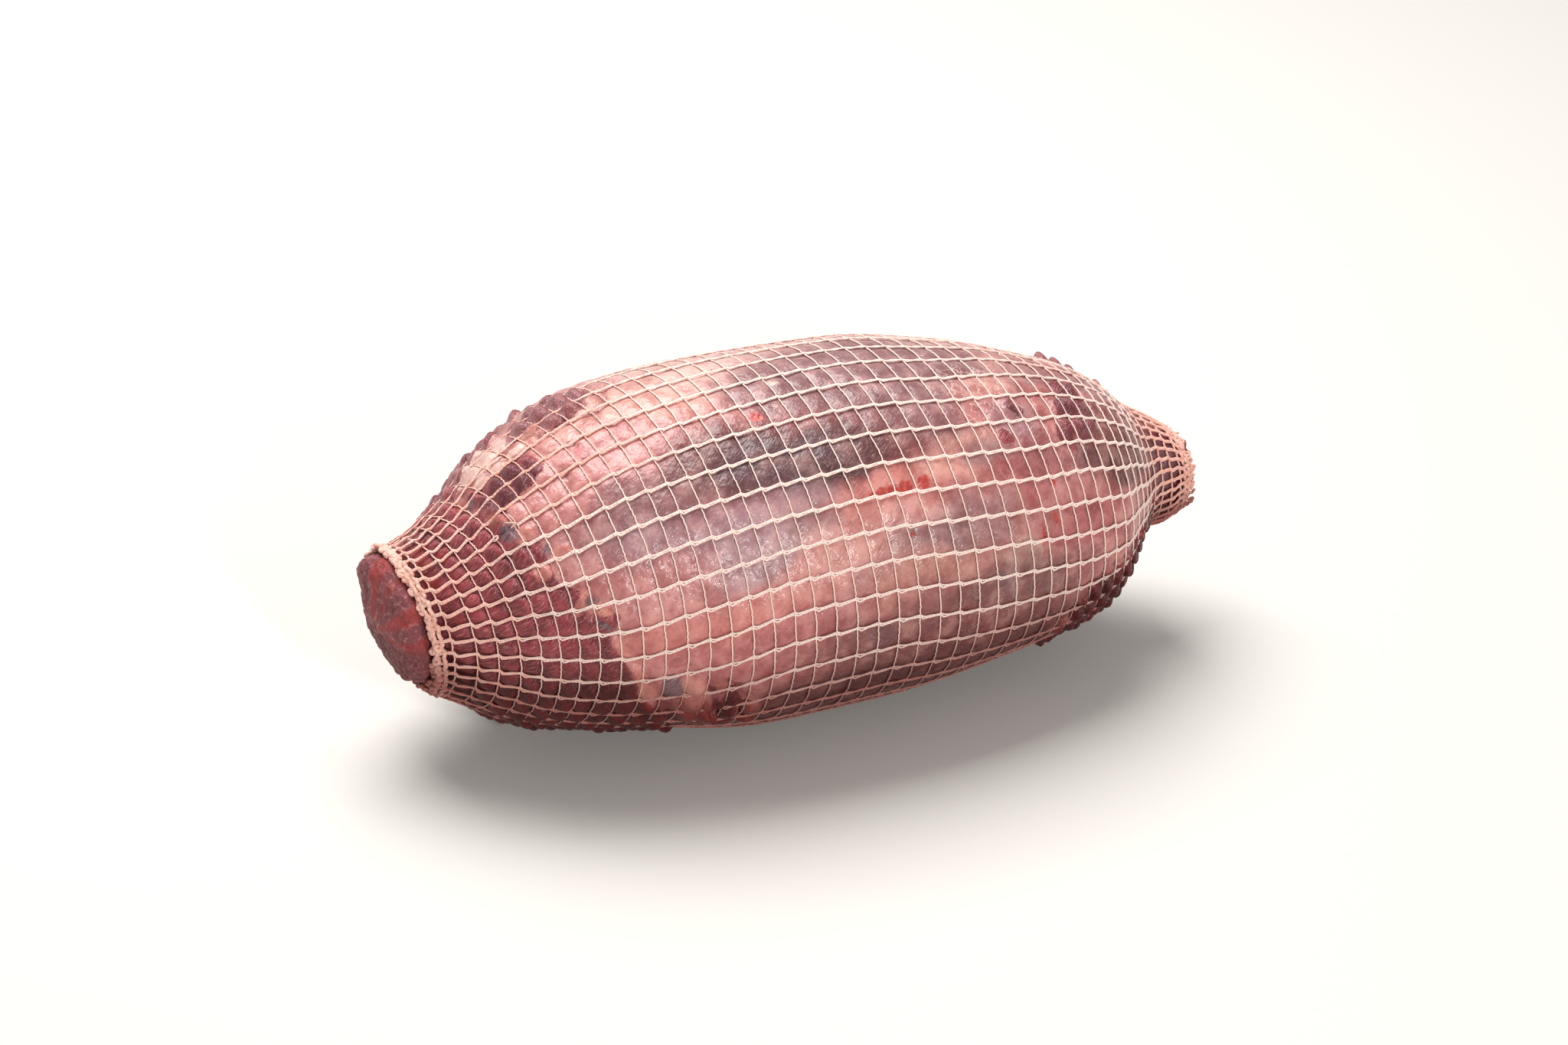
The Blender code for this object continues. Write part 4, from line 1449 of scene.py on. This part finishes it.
@dataclass
class PillarChains:
    """Lengthwise chains of stitches, each two legs that part around an eye."""

    form: RoastForm
    yarn: NetYarn
    per_ring: int = 8
    leg_radius: float = 0.33
    leg_gap: float = 0.20
    eye_gap: float = 0.42
    eye_at: float = 0.12
    eye_half: float = 0.15
    slant: float = 0.40
    depth: float = 0.52
    broken: tuple[int, int] = (11, 5)
    front: tuple[int, int] = (5, 23)
    tail_stain: tuple[float, float] = (14.0, 18.0)
    stitch_mm: float = 6.0

    def course(self, chain: int, leg: float, first: float, last: float) -> Course:
        """Give one leg's course between two rings.

        Args:
            chain: Number of the chain.
            leg: -1 or 1, the leg's side.
            first: Ring number where it starts.
            last: Ring number where it ends.

        Returns:
            A function from share along to ring, chain, depth and shifts.
        """
        end = self.form.last_ring()

        def at(along: Array) -> tuple[Array, ...]:
            """Read the course."""
            ring = first + along * (last - first)
            part = ring % 1.0
            cuff_left, cuff_right = fade(ring, 6.0, 0.5), fade(ring, end - 6.0, end - 0.5)
            saw = np.where(part < 0.14, 1.0 - part / 0.07, -1.0 + 2.0 * (part - 0.14) / 0.86)
            away = np.minimum(np.abs(part - self.eye_at), 1.0 - np.abs(part - self.eye_at))
            eye = np.exp(-((away / self.eye_half) ** 2))
            eye *= 1.0 - 0.6 * np.maximum(cuff_left, cuff_right)
            gap = self.leg_gap + (self.eye_gap - self.leg_gap) * eye
            slant = self.slant + 0.25 * cuff_left - 0.2 * cuff_right
            wave = 0.15 * np.sin(ring * 5.1 + chain * 2.3) * (cuff_left + cuff_right)
            around = -slant * saw + leg * gap + wave
            out = self.depth + leg * 0.10 * eye + 0.10 * np.sin(2.0 * math.pi * ring * 1.5) * leg
            out += 0.9 * cuff_left + 0.5 * cuff_right
            out += self.form.flare(ring, np.full_like(ring, chain))
            return ring, np.full_like(ring, float(chain)), out, np.zeros_like(ring), around

        return at

    def break_ends(self) -> list[bpy.types.Object]:
        """Tie off the broken chain with a knot and a frayed tail."""
        chain, ring = float(self.broken[0]), float(self.broken[1])
        items = []
        turn = np.linspace(0.0, 2.0 * math.pi, 11)
        for number in range(4):
            lift = 0.9 + 0.25 * number
            rings = ring - 0.08 + 0.11 * np.cos(turn + number)
            chains = chain + 0.02 * number + 0.10 * np.sin(turn + number)
            depth = lift + 0.45 * np.sin(turn * (1 + number % 2) + 1.7 * number)
            line = self.form.on_body(rings, chains, depth)
            items.append(self.yarn.thread(f"knot_{number}", line, 0.26, (ring, chain), True))
        share = np.linspace(0.0, 1.0, 9)
        for number, (end_ring, end_chain, lift) in enumerate(
            ((0.55, -0.35, 1.2), (0.75, -0.12, 1.6), (0.98, -0.62, 1.1), (1.02, 0.34, 1.3), (0.7, 0.1, 1.0))
        ):
            rings = ring + 1.12 + (end_ring - 1.12) * share
            chains = chain + end_chain * share**1.3
            depth = 0.6 + lift * np.sin(2.2 * share)
            line = self.form.on_body(rings, chains, depth)
            items.append(self.yarn.thread(f"tail_{number}", line, 0.2, self.tail_stain, False))
        return items

    def build(self) -> list[bpy.types.Object]:
        """Sweep every chain, the broken one in two parts."""
        end = float(self.form.last_ring())
        halves: tuple[list, list] = ([], [])
        for chain in range(self.form.chains):
            runs = [(0.0, end)]
            if chain == self.broken[0]:
                runs = [(0.0, self.broken[1] - 0.05), (self.broken[1] + 1.1, end)]
            for first, last in runs:
                for leg in (-1.0, 1.0):
                    count = max(4, int(round((last - first) * self.per_ring)))
                    length = (last - first) * self.stitch_mm
                    name = f"chain_{chain}_{int(first)}_{'a' if leg < 0 else 'b'}"
                    course = self.course(chain, leg, first, last)
                    item = self.yarn.sweep(name, count, course, self.leg_radius, length, False, 0.85)
                    halves[0 if self.front[0] <= chain < self.front[1] else 1].append(item)
        halves[0].extend(self.break_ends())
        return [join_pieces(f"net_chains_{s}", items) for s, items in zip(("front", "back"), halves)]


@dataclass
class ElasticRings:
    """Elastic rings laid through the chains' eyes."""

    form: RoastForm
    yarn: NetYarn
    per_chain: int = 9
    radius: float = 0.25
    depth: float = 0.34

    def course(self, ring: float, wobble: float, lift: float, seed: int) -> Course:
        """Give one ring's course around the body.

        Args:
            ring: Number of the ring.
            wobble: How far it strays along the roast in mm.
            lift: How far it is raised above the other rings in mm.
            seed: Picks its own random waves.

        Returns:
            A function from share along to ring, chain, depth and shifts.
        """
        rng = np.random.default_rng(seed)
        phase = rng.uniform(0.0, 6.28, 3)

        def at(along: Array) -> tuple[Array, ...]:
            """Read the course."""
            chain = along * self.form.chains
            turn = 2.0 * math.pi * along
            sway = 0.10 * np.sin(turn * 148 + phase[0]) + wobble * np.sin(turn * 36 + phase[1])
            sway += 0.5 * wobble * np.sin(turn * 23 + phase[2])
            depth = self.depth + lift - 0.12 * np.cos(turn * 36) + self.form.flare(ring + 0 * chain, chain)
            return np.full_like(chain, ring), chain, depth, sway, np.zeros_like(chain)

        return at

    def build(self) -> bpy.types.Object:
        """Sweep every ring."""
        end = self.form.last_ring()
        items = []
        for ring in range(end + 1):
            cuff = max(0.0, 1.0 - min(ring, end - ring) / 5.0)
            lift = 0.9 * cuff if ring < 9 else 0.5 * cuff
            course = self.course(float(ring), 0.08 + 0.08 * cuff, lift, ring)
            half_chains = np.linspace(0, self.form.chains, 2 * self.form.chains + 1)
            places = self.form.on_body(np.full_like(half_chains, ring), half_chains, 0.0)
            length = float(np.linalg.norm(np.diff(places, axis=0), axis=1).sum())
            count = self.form.chains * self.per_chain
            name = f"ring_{ring}"
            items.append(self.yarn.sweep(name, count, course, self.radius, length, True))
        return join_pieces("net_rings", items)


@dataclass
class CutCuff:
    """The gathered mouth of the net: crimped rows and cut loops."""

    form: RoastForm
    yarn: NetYarn
    side: str
    rows: int = 2
    loops_per_chain: int = 3
    radius: float = 0.42
    bead_radius: float = 0.52
    loop_size: float = 0.55
    tufts: int = 0
    reach: float = 0.0
    tuft_chain: float = 23.8
    tuft_spread: float = 5.0
    crimp_mm: float = 170.0

    def crimp(self, row: int) -> Course:
        """Give the course of one crimped thread around the mouth."""
        left = self.side == "left"
        rng = np.random.default_rng(70 + row + (0 if left else 10))
        phase = rng.uniform(0.0, 6.28, 3)
        base = 0.1 + 0.4 * row if left else self.form.last_ring() - 0.15 - 0.4 * row

        def at(along: Array) -> tuple[Array, ...]:
            """Read the course."""
            turn = 2.0 * math.pi * along
            chain = along * self.form.chains
            sway = 0.3 * np.sin(turn * 36 + phase[0]) + 0.2 * np.sin(turn * 72 + phase[1])
            lift = 1.2 + 0.35 * np.sin(turn * 54 + phase[2]) + self.form.flare(0 * chain, chain) * left
            return np.full_like(chain, base), chain, lift, sway, 0.5 * np.sin(turn * 72 + phase[2])

        return at

    def loop(self, number: int) -> bpy.types.Object:
        """Make one cut loop that stands off the mouth."""
        left = self.side == "left"
        rng = np.random.default_rng(500 + number + (0 if left else 1000))
        chain = (number + rng.uniform(-0.3, 0.3)) / self.loops_per_chain % self.form.chains
        tuft = number >= self.form.chains * self.loops_per_chain
        if tuft:
            chain = self.tuft_chain + rng.uniform(-self.tuft_spread, self.tuft_spread)
        ring = rng.uniform(-0.1, 0.35) if left else self.form.last_ring() - rng.uniform(0.0, 0.5)
        ring = float(np.clip(ring, 0.0, self.form.last_ring()))
        size = self.loop_size * rng.uniform(0.75, 1.3)
        tilt, spin = rng.uniform(-0.9, 0.9), rng.uniform(-0.6, 0.6)
        lift = rng.uniform(0.5, 1.5)
        out = -1.0 if left else 1.0
        where = (np.array([ring]), np.array([chain]))
        flare = float(self.form.flare(*where)[0]) if left else 0.0
        if tuft:
            lift -= flare * rng.uniform(0.2, 1.0) + 0.5
        here, along, around, outward = self.form.axes(*where, lift + flare)
        first = unit(along[0] * out + outward[0] * tilt)
        second = unit(around[0] + outward[0] * spin)
        turn = np.linspace(0.0, 2.0 * math.pi, 11)
        line = here[0] + first * (size * (0.5 - np.cos(turn)))[:, None]
        line = line + second * (size * 0.8 * np.sin(turn))[:, None]
        line = line + along[0] * out * self.reach * rng.uniform(0.0, 1.0)
        return self.yarn.thread("loop", line, self.bead_radius, (ring, chain), True)

    def build(self) -> bpy.types.Object:
        """Make the crimped rows and the loops."""
        items = []
        for row in range(self.rows):
            name, count = f"crimp_{row}", self.form.chains * 8
            crimp = self.yarn.sweep(name, count, self.crimp(row), self.radius, self.crimp_mm, True)
            items.append(crimp)
        for number in range(self.form.chains * self.loops_per_chain + self.tufts):
            items.append(self.loop(number))
        return join_pieces(f"net_cuff_{self.side}", items)


@dataclass
class RoastNet:
    """The whole net with its finish."""

    form: RoastForm
    finish: YarnFinish

    def build(self) -> None:
        """Build each part of the net and dress it in one yarn."""
        yarn = NetYarn(self.form, YarnStain(self.form))
        parts = PillarChains(self.form, yarn).build()
        parts.append(ElasticRings(self.form, yarn).build())
        left = CutCuff(
            self.form, yarn, "left", radius=0.6, bead_radius=0.72, loop_size=0.8, tufts=80
        )
        right = CutCuff(
            self.form,
            yarn,
            "right",
            loops_per_chain=2,
            bead_radius=0.42,
            loop_size=0.95,
            reach=3.2,
        )
        parts.extend((left.build(), right.build()))
        material = self.finish.build()
        for part in parts:
            part.data.materials.clear()
            part.data.materials.append(material)
            hand_over(part, "net")


@dataclass
class Studio:
    """Pale floor, soft lights and the camera."""

    floor_finish: FloorFinish
    camera_at: tuple[float, float, float] = (-0.4203, -1.0795, 0.7083)
    camera_forward: tuple[float, float, float] = (0.3157, 0.8134, -0.4886)
    camera_up: tuple[float, float, float] = (0.1755, 0.4560, 0.8725)
    lens_mm: float = 92.76
    floor_size: float = 6.0

    def floor(self) -> None:
        """Lay the floor just under the roast."""
        bpy.ops.object.select_all(action="DESELECT")
        bpy.ops.mesh.primitive_plane_add(size=self.floor_size, location=(0.0, 0.0, 0.0))
        paper = bpy.context.object
        paper.name = "studio_floor"
        paper.data.materials.append(self.floor_finish.build())
        paper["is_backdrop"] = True

    def softbox(self, name: str, at: tuple[float, ...], size: float, power: float) -> None:
        """Hang one square soft light that faces the roast."""
        bpy.ops.object.light_add(type="AREA", location=at)
        lamp = bpy.context.object
        lamp.name = name
        lamp.data.shape = "SQUARE"
        lamp.data.size = size
        lamp.data.energy = power
        aim = Vector((0.0, 0.0, 0.05)) - Vector(at)
        lamp.rotation_euler = aim.to_track_quat("-Z", "Y").to_euler()

    def world(self) -> None:
        """Fill the room with even white light."""
        room = bpy.data.worlds.new("white_room")
        room.use_nodes = True
        back = room.node_tree.nodes["Background"]
        back.inputs["Color"].default_value = linear("#ffffff")
        back.inputs["Strength"].default_value = 0.3
        bpy.context.scene.world = room

    def camera(self) -> None:
        """Set the camera at the seen side."""
        bpy.ops.object.camera_add(location=self.camera_at)
        camera = bpy.context.object
        forward = Vector(self.camera_forward).normalized()
        right = forward.cross(Vector(self.camera_up)).normalized()
        up = right.cross(forward)
        turn = Matrix((right, up, -forward)).transposed().to_4x4()
        camera.matrix_world = Matrix.Translation(Vector(self.camera_at)) @ turn
        camera.data.lens = self.lens_mm
        camera.data.sensor_width = 36.0
        camera.data.clip_start = 0.05
        camera.data.clip_end = 20.0
        bpy.context.scene.camera = camera

    def build(self) -> None:
        """Set up floor, light, room and camera."""
        self.floor()
        self.softbox("top_softbox", (-0.1, 0.5, 1.25), 1.0, 27.0)
        self.softbox("front_softbox", (0.05, -1.35, 0.62), 0.16, 11.0)
        self.world()
        self.camera()
        bpy.context.scene.view_settings.view_transform = "Standard"


def main() -> None:
    """Load the frame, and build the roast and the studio."""
    logging.basicConfig(level=logging.INFO, format="%(name)s %(message)s")
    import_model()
    cad_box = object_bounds()
    form = RoastForm()
    RolledMeat(form, RawMeatFinish()).build()
    RoastNet(form, YarnFinish()).build()
    Studio(FloorFinish()).build()
    shown_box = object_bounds()
    boxes = {
        "cad": [list(corner) for corner in cad_box],
        "visual": [list(corner) for corner in shown_box],
    }
    LOG.info("visual box %s", boxes["visual"])


if __name__ == "__main__":
    main()
